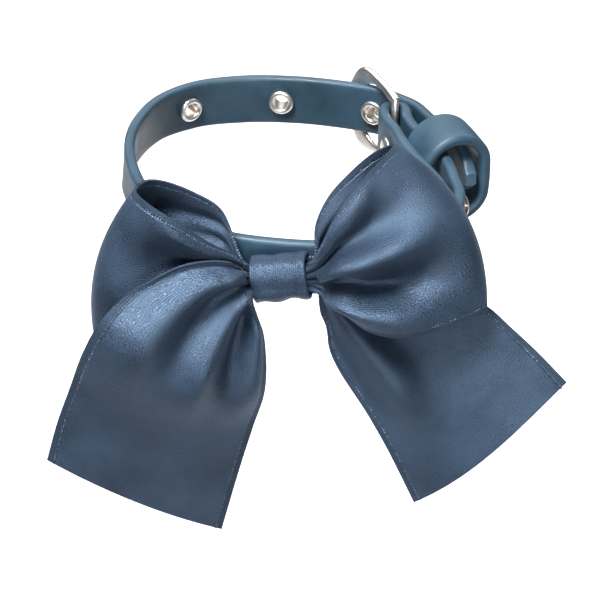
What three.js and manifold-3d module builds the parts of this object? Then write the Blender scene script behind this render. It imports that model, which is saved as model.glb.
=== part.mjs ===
// Small dog collar with a satin bow: coated strap, plate-edge buckle, sliding keeper and ribbon bow.
// Millimetres, +Z up. The neck runs along Z through the origin and the bow faces -Y.
import * as THREE from 'three';
import { mergeVertices } from 'three/addons/utils/BufferGeometryUtils.js';
import Module from 'manifold-3d';

// Driving sizes
const STRAP_WIDTH = 12.5;
const STRAP_THICK = 2.5;
const STRAP_EDGE = 0.75;
const TIP_LENGTH = 7;
const GAP = 0.32;
const EYELET_SPACING = 24;
const EYELET_HOLE = 3.5;
const EYELET_BARREL = 4.2;
const EYELET_FLANGE = 6.2;
const EYELET_SEAT = 0.64;
const HEEL_BAR = 1.9;
const TONGUE_DIA = 1.3;
const HEEL_LENGTH = 18.6;
const FRAME_DROP = 0.4;
const FRAME_LENGTH = 17.6;
const FRAME_THICK = 1.7;
const ARM_WIDTH = 1.9;
const FRONT_BAR_WIDTH = 3.4;
const RIVET_SHAFT = 2.2;
const RIVET_HEAD = 6;
const KEEPER_THICK = 2.1;
const KEEPER_WIDTH = 13;
const KEEPER_DEPTH = 14;
const KEEPER_HEIGHT = 21.4;
const KEEPER_DROP = 0.2;
const RIBBON_WALL = 1;
const KNOT_WALL = 1;
const KNOT_HEIGHT = 9.8;
const KNOT_DEPTH = 8.8;
const KNOT_WIDTH = 11.6;
const POST_SHAFT = 2.6;
const POST_HEAD = 6.4;

// Finishes
const finish = (name, color, roughness, metalness) => {
  const material = new THREE.MeshStandardMaterial({ color, roughness, metalness });
  material.name = name;
  return material;
};
const coatedStrap = finish('coated_strap', 0x2f5f78, 0.45, 0);
const nickel = finish('nickel', 0xcfc9c0, 0.25, 1);
const satin = finish('satin_ribbon', 0x34495f, 0.5, 0);

// The course of the strap seen from above
// From the folded short end, round the heel bar, through the keeper, round the neck and back as the
// holed end. Columns: x, y of the middle of the strap's upper edge, lean = degrees by which the lower
// edge stands outwards (none where it is left out).
const HEEL = new THREE.Vector2(24.3, 21.6);
const strapCourse = [
  { at: 'short end', x: 33.9, y: -22 },
  { at: 'short end', x: 32.2, y: -14.6 },
  { at: 'inside keeper', x: 29.3, y: -6.4 },
  { at: 'inside keeper', x: 26.8, y: 0.4 },
  { at: 'inside keeper', x: 25, y: 6.6 },
  { at: 'first rivet', x: 23.8, y: 12 },
  { at: 'fold', x: 22, y: 17.4 },
  { at: 'fold', x: 21.65, y: 21.4 },
  { at: 'fold', x: 22.45, y: 23.5 },
  { at: 'fold', x: 24.3, y: 24.3 },
  { at: 'fold', x: 26.15, y: 23.5 },
  { at: 'fold', x: 26.95, y: 21.4 },
  { at: 'fold', x: 27.2, y: 17.4 },
  { at: 'first rivet', x: 28.5, y: 12.4 },
  { at: 'keeper', x: 30.8, y: 8 },
  { at: 'keeper', x: 32.9, y: 1.9 },
  { at: 'keeper', x: 34.8, y: -4.6 },
  { at: 'side', x: 35.7, y: -12 },
  { at: 'side', x: 36.3, y: -20.2 },
  { at: 'side', x: 34.7, y: -28.2 },
  { at: 'front', x: 29.8, y: -35.2 },
  { at: 'front', x: 21.6, y: -40.6 },
  { at: 'front', x: 9.6, y: -42 },
  { at: 'bow', x: -3.2, y: -40.9 },
  { at: 'front', x: -14.6, y: -37.6 },
  { at: 'side', x: -24.6, y: -30.2 },
  { at: 'side', x: -31.6, y: -19.6 },
  { at: 'side', x: -35.6, y: -8.2 },
  { at: 'side', x: -37.4, y: 5, lean: 6 },
  { at: 'side', x: -36.4, y: 15.8, lean: 9 },
  { at: 'back', x: -32, y: 27.6, lean: 8 },
  { at: 'back', x: -23.9, y: 35.5, lean: 3 },
  { at: 'back', x: -12, y: 38.9 },
  { at: 'back', x: 1.2, y: 38.4 },
  { at: 'buckle', x: 12, y: 35.8 },
  { at: 'buckle', x: 20.4, y: 32.6 },
  { at: 'over fold', x: 25.6, y: 28.4 },
  { at: 'over fold', x: 29.4, y: 24.2 },
  { at: 'holed end', x: 32.2, y: 18 },
  { at: 'holed end', x: 35, y: 11.6 },
  { at: 'in keeper', x: 38.2, y: 4.4 },
  { at: 'tip', x: 40.6, y: -3.6 },
];
const THIRD_EYELET = new THREE.Vector2(20.4, 32.6);
const FIRST_RIVET = { x: 23.8, y: 12 };
const SECOND_RIVET = { x: 32.7, y: -16.6 };
const KEEPER_CENTRE = new THREE.Vector2(35.6, 2.4);
const KEEPER_ALONG = new THREE.Vector2(0.295, -0.955).normalize();
const KNOT_CENTRE = new THREE.Vector3(-2.4, -47.2, 0.9);
const KNOT_YAW = THREE.MathUtils.degToRad(-7);
const KNOT_ROLL = THREE.MathUtils.degToRad(-10);

// The ribbon pieces
// One row per section across the ribbon. Columns: top = upper selvage, low = lower selvage (x, y, z),
// belly = how far the middle of the section stands off, out of the bow. Rows marked inKnot are laid
// out in the knot: along it, towards the front, and up.
const leftLoopRows = [
  { at: 'root', inKnot: true, top: [-1, 0, 3.2], low: [-1, 0, -3.2], belly: 0 },
  { at: 'root', inKnot: true, top: [-7, 0, 3.2], low: [-7, 0, -3.2], belly: 0 },
  { at: 'front', top: [-12.9, -49.6, 8.1], low: [-12.8, -48.4, -7], belly: 0.1 },
  { at: 'front', top: [-17.6, -52.2, 12.6], low: [-18, -50.4, -11], belly: 1.2 },
  { at: 'front', top: [-23.9, -53.2, 18.4], low: [-25, -51.4, -14.6], belly: 1.8 },
  { at: 'front', top: [-29.4, -51.6, 21.2], low: [-33, -51.2, -17], belly: 3.2 },
  { at: 'turn', top: [-31.6, -46.8, 21.2], low: [-41.6, -47, -15.6], belly: 3.8 },
  { at: 'back', top: [-29.5, -41.4, 20.4], low: [-36.4, -42, -16.6], belly: 2.6 },
  { at: 'back', top: [-26.2, -39.6, 19.1], low: [-28.4, -40.4, -14.6], belly: 1 },
  { at: 'back', top: [-20.2, -39.8, 16.5], low: [-20, -40.8, -11], belly: 0.3 },
  { at: 'back', top: [-15, -41.2, 13.4], low: [-14, -42.6, -7.4], belly: 0.4 },
  { at: 'root', inKnot: true, top: [-7, -1.95, 2.7], low: [-7, -1.95, -2.7], belly: 0 },
  { at: 'root', inKnot: true, top: [-1, -1.95, 2.7], low: [-1, -1.95, -2.7], belly: 0 },
];
const rightLoopRows = [
  { at: 'root', inKnot: true, top: [1, 1.95, 2.9], low: [1, 1.95, -2.9], belly: 0 },
  { at: 'root', inKnot: true, top: [7, 1.95, 2.9], low: [7, 1.95, -2.9], belly: 0 },
  { at: 'front', top: [5.6, -51.4, 10.6], low: [8.4, -52, -2.8], belly: 1 },
  { at: 'front', top: [8, -50.8, 16.3], low: [11.6, -54.6, -4.4], belly: 1.6 },
  { at: 'front', top: [10.8, -49, 20.1], low: [16, -56.8, -6.3], belly: 2 },
  { at: 'front', top: [14.4, -46, 23.6], low: [22, -57.4, -7.2], belly: 2 },
  { at: 'front', top: [18.2, -41.4, 25.6], low: [30.6, -55.6, -6.6], belly: 3.6 },
  { at: 'turn', top: [20.6, -36.6, 26], low: [40, -49.6, -6], belly: 5.8 },
  { at: 'back', top: [16.4, -37.4, 24.4], low: [36.4, -48.4, -7], belly: 2.2 },
  { at: 'back', top: [10.7, -40, 20.3], low: [27, -50, -8], belly: -0.8 },
  { at: 'back', top: [6.9, -43, 16.9], low: [18, -51.2, -7.2], belly: -1.6 },
  { at: 'back', top: [4.6, -45.6, 12.4], low: [10.8, -50.8, -5], belly: -0.8 },
  { at: 'root', inKnot: true, top: [7, 0, 3.2], low: [7, 0, -3.2], belly: 0 },
  { at: 'root', inKnot: true, top: [1, 0, 3.2], low: [1, 0, -3.2], belly: 0 },
];
const leftTailRows = [
  { at: 'root', inKnot: true, top: [-1, 2.15, 2.5], low: [-1, 2.15, -2.5], belly: 0 },
  { at: 'root', inKnot: true, top: [-6.8, 2.15, 2.5], low: [-6.8, 2.15, -2.5], belly: 0 },
  { at: 'over loop', top: [-12.4, -54.4, 8.5], low: [-8.8, -52.3, -5.8], belly: 0.8 },
  { at: 'over loop', top: [-17.6, -56.6, 10], low: [-7.4, -52, -9], belly: 1.4 },
  { at: 'over loop', top: [-22.8, -58.6, 9.8], low: [-6.2, -52.2, -11], belly: 1.8 },
  { at: 'over loop', top: [-28.3, -60, 7.3], low: [-6, -52.5, -14], belly: 2 },
  { at: 'over loop', top: [-34.1, -60, 3.3], low: [-5.9, -52.5, -17.5], belly: 2 },
  { at: 'hang', top: [-38.8, -58, -2.7], low: [-6.1, -52, -21.4], belly: 2 },
  { at: 'hang', top: [-42.4, -55, -10.9], low: [-6.7, -51.5, -26.2], belly: 2 },
  { at: 'hang', top: [-46.5, -52, -22.7], low: [-8.7, -50.5, -34.4], belly: 2.4 },
  { at: 'hang', top: [-50, -51, -32.7], low: [-11.9, -50, -46.4], belly: 3 },
  { at: 'cut end', top: [-52.9, -51, -42.4], low: [-16.2, -50, -63.3], belly: 3.6 },
];
const rightTailRows = [
  { at: 'root', inKnot: true, top: [1, -1.95, 2.7], low: [1, -1.95, -2.7], belly: 0 },
  { at: 'root', inKnot: true, top: [7, -1.95, 2.7], low: [7, -1.95, -2.7], belly: 0 },
  { at: 'behind loop', top: [10.4, -44.8, 4.6], low: [5.7, -46.4, -8.5], belly: 0 },
  { at: 'behind loop', top: [16, -44.2, 3.4], low: [7, -48.5, -11.5], belly: 0 },
  { at: 'behind loop', top: [24, -43.2, 0.8], low: [7.7, -50, -15], belly: 0.2 },
  { at: 'behind loop', top: [33, -42.8, -3.9], low: [9.4, -51, -19.3], belly: 0.4 },
  { at: 'hang', top: [41.4, -44, -8.9], low: [12.4, -52, -24.7], belly: 1 },
  { at: 'hang', top: [45.6, -45.5, -12.4], low: [15.9, -52.5, -30.5], belly: 1.6 },
  { at: 'hang', top: [50.3, -47, -16.5], low: [19.4, -53, -37.2], belly: 2.4 },
  { at: 'hang', top: [54.1, -48.5, -20], low: [23, -53, -45.4], belly: 3.4 },
  { at: 'cut end', top: [58, -50, -23.8], low: [26.5, -53, -53.6], belly: 4.6 },
];
// Folds run along the ribbon. Columns: start and end = place across the ribbon (0 top, 1 low) at the
// knot and where the fold dies out, rise = height to the front, spread = half width at the end,
// from and to = part of the length it fills.
const leftLoopFolds = [
  { start: 0.25, end: 0.2, rise: 1.2, spread: 0.1, from: 0.14, to: 0.44 },
  { start: 0.5, end: 0.48, rise: -2.2, spread: 0.13, from: 0.12, to: 0.4 },
  { start: 0.75, end: 0.76, rise: 1.2, spread: 0.12, from: 0.12, to: 0.4 },
  { start: 0.4, end: 0.35, rise: 1.4, spread: 0.14, from: 0.6, to: 0.94 },
];
const rightLoopFolds = [
  { start: 0.3, end: 0.24, rise: -2, spread: 0.1, from: 0.12, to: 0.42 },
  { start: 0.48, end: 0.46, rise: 1.8, spread: 0.1, from: 0.12, to: 0.4 },
  { start: 0.68, end: 0.72, rise: -2.8, spread: 0.13, from: 0.12, to: 0.46 },
  { start: 0.86, end: 0.94, rise: 1.2, spread: 0.08, from: 0.12, to: 0.36 },
  { start: 0.45, end: 0.4, rise: -1, spread: 0.16, from: 0.62, to: 0.94 },
];
const leftTailFolds = [
  { start: 0.16, end: 0.14, rise: -1.4, spread: 0.1, from: 0.15, to: 0.6 },
  { start: 0.46, end: 0.34, rise: 2.6, spread: 0.1, from: 0.15, to: 0.66 },
  { start: 0.72, end: 0.6, rise: -2.6, spread: 0.13, from: 0.15, to: 0.72 },
  { start: 0.9, end: 0.8, rise: 1.6, spread: 0.12, from: 0.15, to: 0.9 },
];
const rightTailFolds = [
  { start: 0.3, end: 0.34, rise: -0.7, spread: 0.14, from: 0.14, to: 0.8 },
  { start: 0.62, end: 0.62, rise: 2.4, spread: 0.12, from: 0.12, to: 0.9 },
  { start: 0.82, end: 0.84, rise: -1.6, spread: 0.1, from: 0.12, to: 0.76 },
];

const wasm = await Module();
wasm.setup();
const { Manifold, Mesh: SolidMesh } = wasm;

// Helpers
const lerp = THREE.MathUtils.lerp;

function signedVolume(geometry) {
  const p = geometry.getAttribute('position');
  const index = geometry.index;
  const a = new THREE.Vector3();
  const b = new THREE.Vector3();
  const c = new THREE.Vector3();
  let total = 0;
  for (let i = 0; i < index.count; i += 3) {
    a.fromBufferAttribute(p, index.getX(i));
    b.fromBufferAttribute(p, index.getX(i + 1));
    c.fromBufferAttribute(p, index.getX(i + 2));
    total += a.dot(b.cross(c)) / 6;
  }
  return total;
}

// Builds an indexed closed body from points and triangles and turns it to face outwards.
function body(points, triangles) {
  const geometry = new THREE.BufferGeometry();
  const flat = points.flatMap((p) => [p.x, p.y, p.z]);
  geometry.setAttribute('position', new THREE.Float32BufferAttribute(flat, 3));
  geometry.setIndex(triangles.flat());
  if (signedVolume(geometry) < 0) geometry.setIndex(triangles.map(([a, b, c]) => [a, c, b]).flat());
  return geometry;
}

// Joins rings of equal length into a tube: closed on itself, or with two flat ends.
function tube(rings, closed) {
  const points = rings.flat();
  const n = rings[0].length;
  const triangles = [];
  const last = closed ? rings.length : rings.length - 1;
  for (let i = 0; i < last; i += 1) {
    const next = (i + 1) % rings.length;
    for (let j = 0; j < n; j += 1) {
      const k = (j + 1) % n;
      const a = i * n + j;
      const b = i * n + k;
      const c = next * n + k;
      const d = next * n + j;
      triangles.push([a, b, c], [a, c, d]);
    }
  }
  if (!closed) {
    const end = (rings.length - 1) * n;
    for (let j = 1; j < n - 1; j += 1) {
      triangles.push([0, j + 1, j], [end, end + j, end + j + 1]);
    }
  }
  return body(points, triangles);
}

// A round solid from a closed profile of [radius, height] points, its axis laid from one point to
// another direction.
function turned(profile, segments, centre, axis) {
  const shape = profile.map(([r, h]) => new THREE.Vector2(r, h));
  shape.push(shape[0].clone());
  const geometry = plain(new THREE.LatheGeometry(shape, segments));
  const turn = new THREE.Quaternion().setFromUnitVectors(new THREE.Vector3(0, 1, 0), axis);
  geometry.applyQuaternion(turn);
  geometry.translate(centre.x, centre.y, centre.z);
  if (signedVolume(geometry) < 0) geometry.index.array.reverse();
  return geometry;
}

function plain(geometry) {
  const copy = geometry.clone();
  copy.deleteAttribute('normal');
  copy.deleteAttribute('uv');
  return mergeVertices(copy, 1e-4);
}

function solid(geometry) {
  const clean = plain(geometry);
  const vertProperties = new Float32Array(clean.getAttribute('position').array);
  const triVerts = new Uint32Array(clean.index.array);
  return new Manifold(new SolidMesh({ numProp: 3, vertProperties, triVerts }));
}

function fromSolid(shape) {
  const mesh = shape.getMesh();
  const geometry = new THREE.BufferGeometry();
  geometry.setAttribute('position', new THREE.BufferAttribute(new Float32Array(mesh.vertProperties), 3));
  geometry.setIndex(new THREE.BufferAttribute(new Uint32Array(mesh.triVerts), 1));
  return geometry;
}

function rod(radius, length, centre, axis, segments = 16) {
  const geometry = new THREE.CylinderGeometry(radius, radius, length, segments);
  const turn = new THREE.Quaternion().setFromUnitVectors(new THREE.Vector3(0, 1, 0), axis);
  geometry.applyQuaternion(turn);
  geometry.translate(centre.x, centre.y, centre.z);
  return solid(geometry);
}

function block(sx, sy, sz, centre, turnZ = 0) {
  const geometry = new THREE.BoxGeometry(sx, sy, sz);
  geometry.rotateZ(turnZ);
  geometry.translate(centre.x, centre.y, centre.z);
  return solid(geometry);
}

// Strap
const courseCurve = new THREE.CatmullRomCurve3(
  strapCourse.map((row) => new THREE.Vector3(row.x, row.y, 0)), false, 'centripetal');

function leanAt(t) {
  const place = t * (strapCourse.length - 1);
  const i = Math.min(strapCourse.length - 2, Math.floor(place));
  const f = THREE.MathUtils.smoothstep(place - i, 0, 1);
  return lerp(strapCourse[i].lean ?? 0, strapCourse[i + 1].lean ?? 0, f);
}

function courseFrame(t) {
  const p = courseCurve.getPoint(t);
  const along = courseCurve.getTangent(t).setZ(0).normalize();
  const side = new THREE.Vector3(along.y, -along.x, 0);
  const lean = THREE.MathUtils.degToRad(leanAt(t));
  const up = new THREE.Vector3(0, 0, Math.cos(lean)).addScaledVector(side, Math.sin(lean));
  const across = side.clone().multiplyScalar(Math.cos(lean)).setZ(-Math.sin(lean));
  const half = STRAP_WIDTH / 2;
  const middle = new THREE.Vector3(p.x, p.y, half).addScaledVector(up, -half);
  return { p: middle, along, across, up };
}

// Stations close together in the fold and far apart on the open run.
function courseStations() {
  const steps = 3000;
  const list = [0];
  let length = 0;
  let turn = 0;
  let before = courseFrame(0);
  for (let i = 1; i <= steps; i += 1) {
    const now = courseFrame(i / steps);
    length += now.p.distanceTo(before.p);
    turn += now.along.angleTo(before.along);
    before = now;
    if (length > 4.6 || turn > 0.16 || i === steps) {
      list.push(i / steps);
      length = 0;
      turn = 0;
    }
  }
  return list;
}

function nearestOnCourse(x, y, from = 0, to = 1) {
  let best = from;
  let bestDistance = Infinity;
  for (let i = 0; i <= 2000; i += 1) {
    const t = lerp(from, to, i / 2000);
    const p = courseCurve.getPoint(t);
    const d = Math.hypot(p.x - x, p.y - y);
    if (d < bestDistance) {
      best = t;
      bestDistance = d;
    }
  }
  return best;
}

function strapSection(t, tipAt) {
  const { p, across, up } = courseFrame(t);
  const left = courseCurve.getPoint(1).distanceTo(p);
  const half = STRAP_WIDTH / 2;
  const taper = t > tipAt ? Math.sqrt(Math.max(0.06, Math.min(1, left / TIP_LENGTH))) : 1;
  const h = half * taper;
  const w = STRAP_THICK / 2;
  const e = STRAP_EDGE;
  const outline = [
    [w, h - e], [w - e, h], [-w + e, h], [-w, h - e],
    [-w, -h + e], [-w + e, -h], [w - e, -h], [w, -h + e],
  ];
  return outline.map(([a, b]) => p.clone().addScaledVector(across, a).addScaledVector(up, b));
}

const tipStart = nearestOnCourse(38.2, 4.4, 0.9, 1);
const stations = courseStations();
const tipExtra = [0.975, 0.985, 0.993].filter((t) => t > tipStart);
const strapStations = [...new Set([...stations, ...tipExtra])].sort((a, b) => a - b);
let strapSolid = solid(tube(strapStations.map((t) => strapSection(t, tipStart)), false));

// Eyelets sit at equal steps back from the one the tongue uses.
const thirdAt = nearestOnCourse(THIRD_EYELET.x, THIRD_EYELET.y, 0.7, 1);
function stepBack(t, distance) {
  let u = t;
  let gone = 0;
  let before = courseCurve.getPoint(t);
  while (gone < distance) {
    u -= 0.0002;
    const now = courseCurve.getPoint(u);
    gone += now.distanceTo(before);
    before = now;
  }
  return u;
}
const secondAt = stepBack(thirdAt, EYELET_SPACING);
const firstAt = stepBack(secondAt, EYELET_SPACING);
const eyeletPlaces = [firstAt, secondAt, thirdAt].map(courseFrame);
for (const place of eyeletPlaces) {
  strapSolid = strapSolid.subtract(rod(EYELET_BARREL / 2 + GAP, 8, place.p, place.across));
}

function eyelet(place) {
  const inner = EYELET_HOLE / 2;
  const barrel = EYELET_BARREL / 2;
  const flange = EYELET_FLANGE / 2;
  const seat = STRAP_THICK / 2 + EYELET_SEAT;
  const top = seat + 0.65;
  const profile = [
    [inner, -seat], [inner + 0.5, -top], [flange - 0.5, -top], [flange, -seat], [barrel, -seat],
    [barrel, seat], [flange, seat], [flange - 0.5, top], [inner + 0.5, top], [inner, seat],
  ];
  return turned(profile, 16, place.p, place.across);
}

// Rivets through the folded short end and the run beside it.
function rivetLine(row) {
  const inner = courseFrame(nearestOnCourse(row.x, row.y, 0, 0.17));
  const side = inner.across.x > 0 ? inner.across.clone() : inner.across.clone().negate();
  const outerAt = nearestOnCourse(inner.p.x + side.x * 3.6, inner.p.y + side.y * 3.6, 0.2, 0.6);
  const outer = courseFrame(outerAt);
  const axis = outer.p.clone().sub(inner.p).normalize();
  return { inner: inner.p, outer: outer.p, axis };
}
const rivetLines = [FIRST_RIVET, SECOND_RIVET].map(rivetLine);
for (const line of rivetLines) {
  const middle = line.inner.clone().add(line.outer).multiplyScalar(0.5);
  strapSolid = strapSolid.subtract(rod(RIVET_SHAFT / 2 + GAP, 12, middle, line.axis, 12));
}

function rivet(line) {
  const reach = STRAP_THICK / 2 + 0.74;
  const span = line.outer.distanceTo(line.inner) + 2 * reach;
  const middle = line.inner.clone().add(line.outer).multiplyScalar(0.5);
  const shaft = RIVET_SHAFT / 2;
  const head = RIVET_HEAD / 2;
  const back = head * 0.8;
  const h = span / 2;
  const profile = [
    [0, -h - 1], [head * 0.6, -h - 0.75], [head, -h], [shaft, -h],
    [shaft, h], [back, h], [back * 0.85, h + 0.6], [0, h + 0.7],
  ];
  return turned(profile, 14, middle, line.axis);
}

// Groove for the ring of the tongue, and the way out of the fold for its shank.
const heelPoint = new THREE.Vector3(HEEL.x, HEEL.y, 0);
const slot = TONGUE_DIA + 2 * 0.42;
strapSolid = strapSolid.subtract(rod(2.35, slot, heelPoint, new THREE.Vector3(0, 0, 1), 20));
strapSolid = strapSolid.subtract(block(3.4, 7, slot, new THREE.Vector3(23.1, 25, 0), 0.25));

// Buckle
// The frame bends from the heel bar round to the front bar, outside the strap.
const frameBend = new THREE.QuadraticBezierCurve3(
  new THREE.Vector3(HEEL.x, HEEL.y, 0), new THREE.Vector3(20.6, 33.4, 0), new THREE.Vector3(15.2, 38, 0));
// Upper half of the frame's middle line, from the heel bar to the front bar. Columns: along, high.
const frameOutline = [
  { along: -0.1, high: 8.3 },
  { along: 4, high: 8.9 },
  { along: 9, high: 9.2 },
  { along: 13.4, high: 8.9 },
  { along: 16.3, high: 6.9 },
  { along: 17.3, high: 3.4 },
  { along: 17.5, high: 0 },
];
function framePoint(along, z, lift) {
  const t = Math.min(1, Math.max(0, along / FRAME_LENGTH));
  const p = frameBend.getPoint(t);
  const d = frameBend.getTangent(t);
  const out = new THREE.Vector3(-d.y, d.x, 0).negate();
  const over = along - t * FRAME_LENGTH;
  return new THREE.Vector3(p.x + d.x * over + out.x * lift, p.y + d.y * over + out.y * lift, z);
}
function buckleFrame() {
  const upper = frameOutline.map((row) => new THREE.Vector3(row.along, row.high, 0));
  const lower = frameOutline.slice(0, -1).reverse().map((row) => new THREE.Vector3(row.along, -row.high, 0));
  const outline = new THREE.CatmullRomCurve3([...upper, ...lower], false, 'centripetal');
  const rings = [];
  const count = 34;
  const thick = FRAME_THICK / 2;
  for (let i = 0; i <= count; i += 1) {
    const at = outline.getPoint(i / count);
    const run = outline.getTangent(i / count);
    const wide = lerp(ARM_WIDTH, FRONT_BAR_WIDTH, THREE.MathUtils.smoothstep(at.x, 7, 14)) / 2;
    const section = [[-wide, -thick * 0.5], [-wide * 0.6, -thick], [wide * 0.6, -thick], [wide, -thick * 0.5],
      [wide, thick * 0.5], [wide * 0.6, thick], [-wide * 0.6, thick], [-wide, thick * 0.5]];
    rings.push(section.map(([w, lift]) => framePoint(at.x - run.y * w, at.y + run.x * w - FRAME_DROP, lift)));
  }
  const barMiddle = heelPoint.clone().setZ(-FRAME_DROP);
  const bar = rod(HEEL_BAR / 2, HEEL_LENGTH, barMiddle, new THREE.Vector3(0, 0, 1), 14);
  return fromSolid(solid(tube(rings, false)).add(bar));
}

// The tongue rings the heel bar, passes the third eyelet and rests outside the front bar.
const tonguePath = new THREE.CatmullRomCurve3([
  new THREE.Vector3(23.6, 23.2, 0),
  new THREE.Vector3(22.6, 25.6, 0),
  new THREE.Vector3(20.6, 28.2, 0),
  new THREE.Vector3(19.95, 30.2, 0),
  new THREE.Vector3(20.85, 35, 0),
  new THREE.Vector3(19.8, 37.6, 0),
  new THREE.Vector3(17.2, 39.7, 0),
  new THREE.Vector3(13.8, 40.9, 0),
], false, 'centripetal');
function buckleTongue() {
  const rings = [];
  const sides = 8;
  for (let i = 0; i <= 14; i += 1) {
    const t = i / 14;
    const p = tonguePath.getPoint(t);
    const d = tonguePath.getTangent(t);
    const side = new THREE.Vector3(d.y, -d.x, 0);
    const r = (TONGUE_DIA / 2) * (t > 0.9 ? 0.75 : 1);
    const ring = [];
    for (let j = 0; j < sides; j += 1) {
      const a = (j / sides) * Math.PI * 2;
      ring.push(new THREE.Vector3(
        p.x + side.x * r * Math.cos(a), p.y + side.y * r * Math.cos(a), r * Math.sin(a)));
    }
    rings.push(ring);
  }
  const shank = solid(tube(rings, false));
  const inside = HEEL_BAR / 2 + GAP;
  const outside = inside + 0.75;
  const h = TONGUE_DIA / 2;
  const eye = solid(turned([[inside, -h], [outside, -h], [outside, h], [inside, h]], 16, heelPoint,
    new THREE.Vector3(0, 0, 1)));
  const hollow = rod(inside, 4, heelPoint, new THREE.Vector3(0, 0, 1), 16);
  return fromSolid(shank.add(eye).subtract(hollow));
}

// Keeper
function roundedRing(depth, height, corner, count) {
  const list = [];
  const per = count / 4;
  const centres = [[1, 1], [-1, 1], [-1, -1], [1, -1]];
  centres.forEach(([sx, sy], quarter) => {
    for (let i = 0; i < per; i += 1) {
      const a = (quarter + i / (per - 1)) * (Math.PI / 2);
      list.push([
        sx * (depth / 2 - corner) + corner * Math.cos(a),
        sy * (height / 2 - corner) + corner * Math.sin(a),
        Math.cos(a), Math.sin(a)]);
    }
  });
  return list;
}

function band(centre, out, up, along, depth, height, corner, wall, width, edge, count) {
  const rings = roundedRing(depth - wall, height - wall, corner, count).map(([a, b, na, nb]) => {
    const w = wall / 2;
    const h = width / 2;
    const section = [[w, h - edge], [w - edge, h], [-w + edge, h], [-w, h - edge],
      [-w, -h + edge], [-w + edge, -h], [w - edge, -h], [w, -h + edge]];
    return section.map(([off, run]) => centre.clone()
      .addScaledVector(out, a + na * off)
      .addScaledVector(up, b + nb * off)
      .addScaledVector(along, run));
  });
  return tube(rings, true);
}

function keeper() {
  const along = new THREE.Vector3(KEEPER_ALONG.x, KEEPER_ALONG.y, 0);
  const out = new THREE.Vector3(-along.y, along.x, 0);
  const up = new THREE.Vector3(0, 0, 1);
  const centre = new THREE.Vector3(KEEPER_CENTRE.x, KEEPER_CENTRE.y, -KEEPER_DROP);
  return band(centre, out, up, along, KEEPER_DEPTH, KEEPER_HEIGHT, 5.8, KEEPER_THICK, KEEPER_WIDTH, 0.6, 24);
}

// Bow
const knotTurn = new THREE.Euler(0, KNOT_ROLL, KNOT_YAW, 'ZYX');
const knotAlong = new THREE.Vector3(1, 0, 0).applyEuler(knotTurn);
const knotOut = new THREE.Vector3(0, -1, 0).applyEuler(knotTurn);
const knotUp = new THREE.Vector3(0, 0, 1).applyEuler(knotTurn);

const bowAt = nearestOnCourse(-3.2, -40.9, 0.3, 0.7);
const bowPlace = courseFrame(bowAt);
const postAxis = knotOut.clone().setZ(0).normalize();
strapSolid = strapSolid.subtract(rod(POST_SHAFT / 2 + GAP, 8, bowPlace.p, postAxis, 14));

function bowKnot() {
  const wrap = band(KNOT_CENTRE, knotOut, knotUp, knotAlong,
    KNOT_DEPTH, KNOT_HEIGHT, 2.9, KNOT_WALL, KNOT_WIDTH, 0.25, 24);
  const hole = rod(POST_SHAFT / 2 + GAP, 5, bowPlace.p.clone().addScaledVector(postAxis, 2.6), postAxis, 14);
  return fromSolid(solid(wrap).subtract(hole));
}

function bowPost() {
  const shaft = POST_SHAFT / 2;
  const head = POST_HEAD / 2;
  const back = STRAP_THICK / 2 + 0.58;
  const reach = STRAP_THICK / 2 + GAP + KNOT_WALL;
  const profile = [[0, -back - 0.9], [head * 0.7, -back - 0.75], [head, -back], [shaft, -back],
    [shaft, reach], [0, reach]];
  return turned(profile, 14, bowPlace.p, postAxis);
}

function ribbonCurves(rows) {
  const place = (row, key) => {
    const [x, y, z] = row[key];
    if (!row.inKnot) return new THREE.Vector3(x, y, z);
    return KNOT_CENTRE.clone().addScaledVector(knotAlong, x).addScaledVector(knotOut, y).addScaledVector(knotUp, z);
  };
  const curve = (key) => new THREE.CatmullRomCurve3(rows.map((row) => place(row, key)), false, 'centripetal');
  return { top: curve('top'), low: curve('low') };
}

function bellyAt(rows, s) {
  const place = s * (rows.length - 1);
  const i = Math.min(rows.length - 2, Math.floor(place));
  return lerp(rows[i].belly, rows[i + 1].belly, THREE.MathUtils.smoothstep(place - i, 0, 1));
}

function foldHeight(folds, s, u) {
  let height = 0;
  for (const fold of folds) {
    const run = (s - fold.from) / (fold.to - fold.from);
    if (run <= 0 || run >= 1) continue;
    const swell = Math.sin(Math.PI * Math.sqrt(run)) ** 1.2;
    const middle = lerp(fold.start, fold.end, run);
    const spread = fold.spread * (0.75 + 0.5 * run);
    height += fold.rise * swell * Math.exp(-(((u - middle) / spread) ** 2));
  }
  return height;
}

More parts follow.
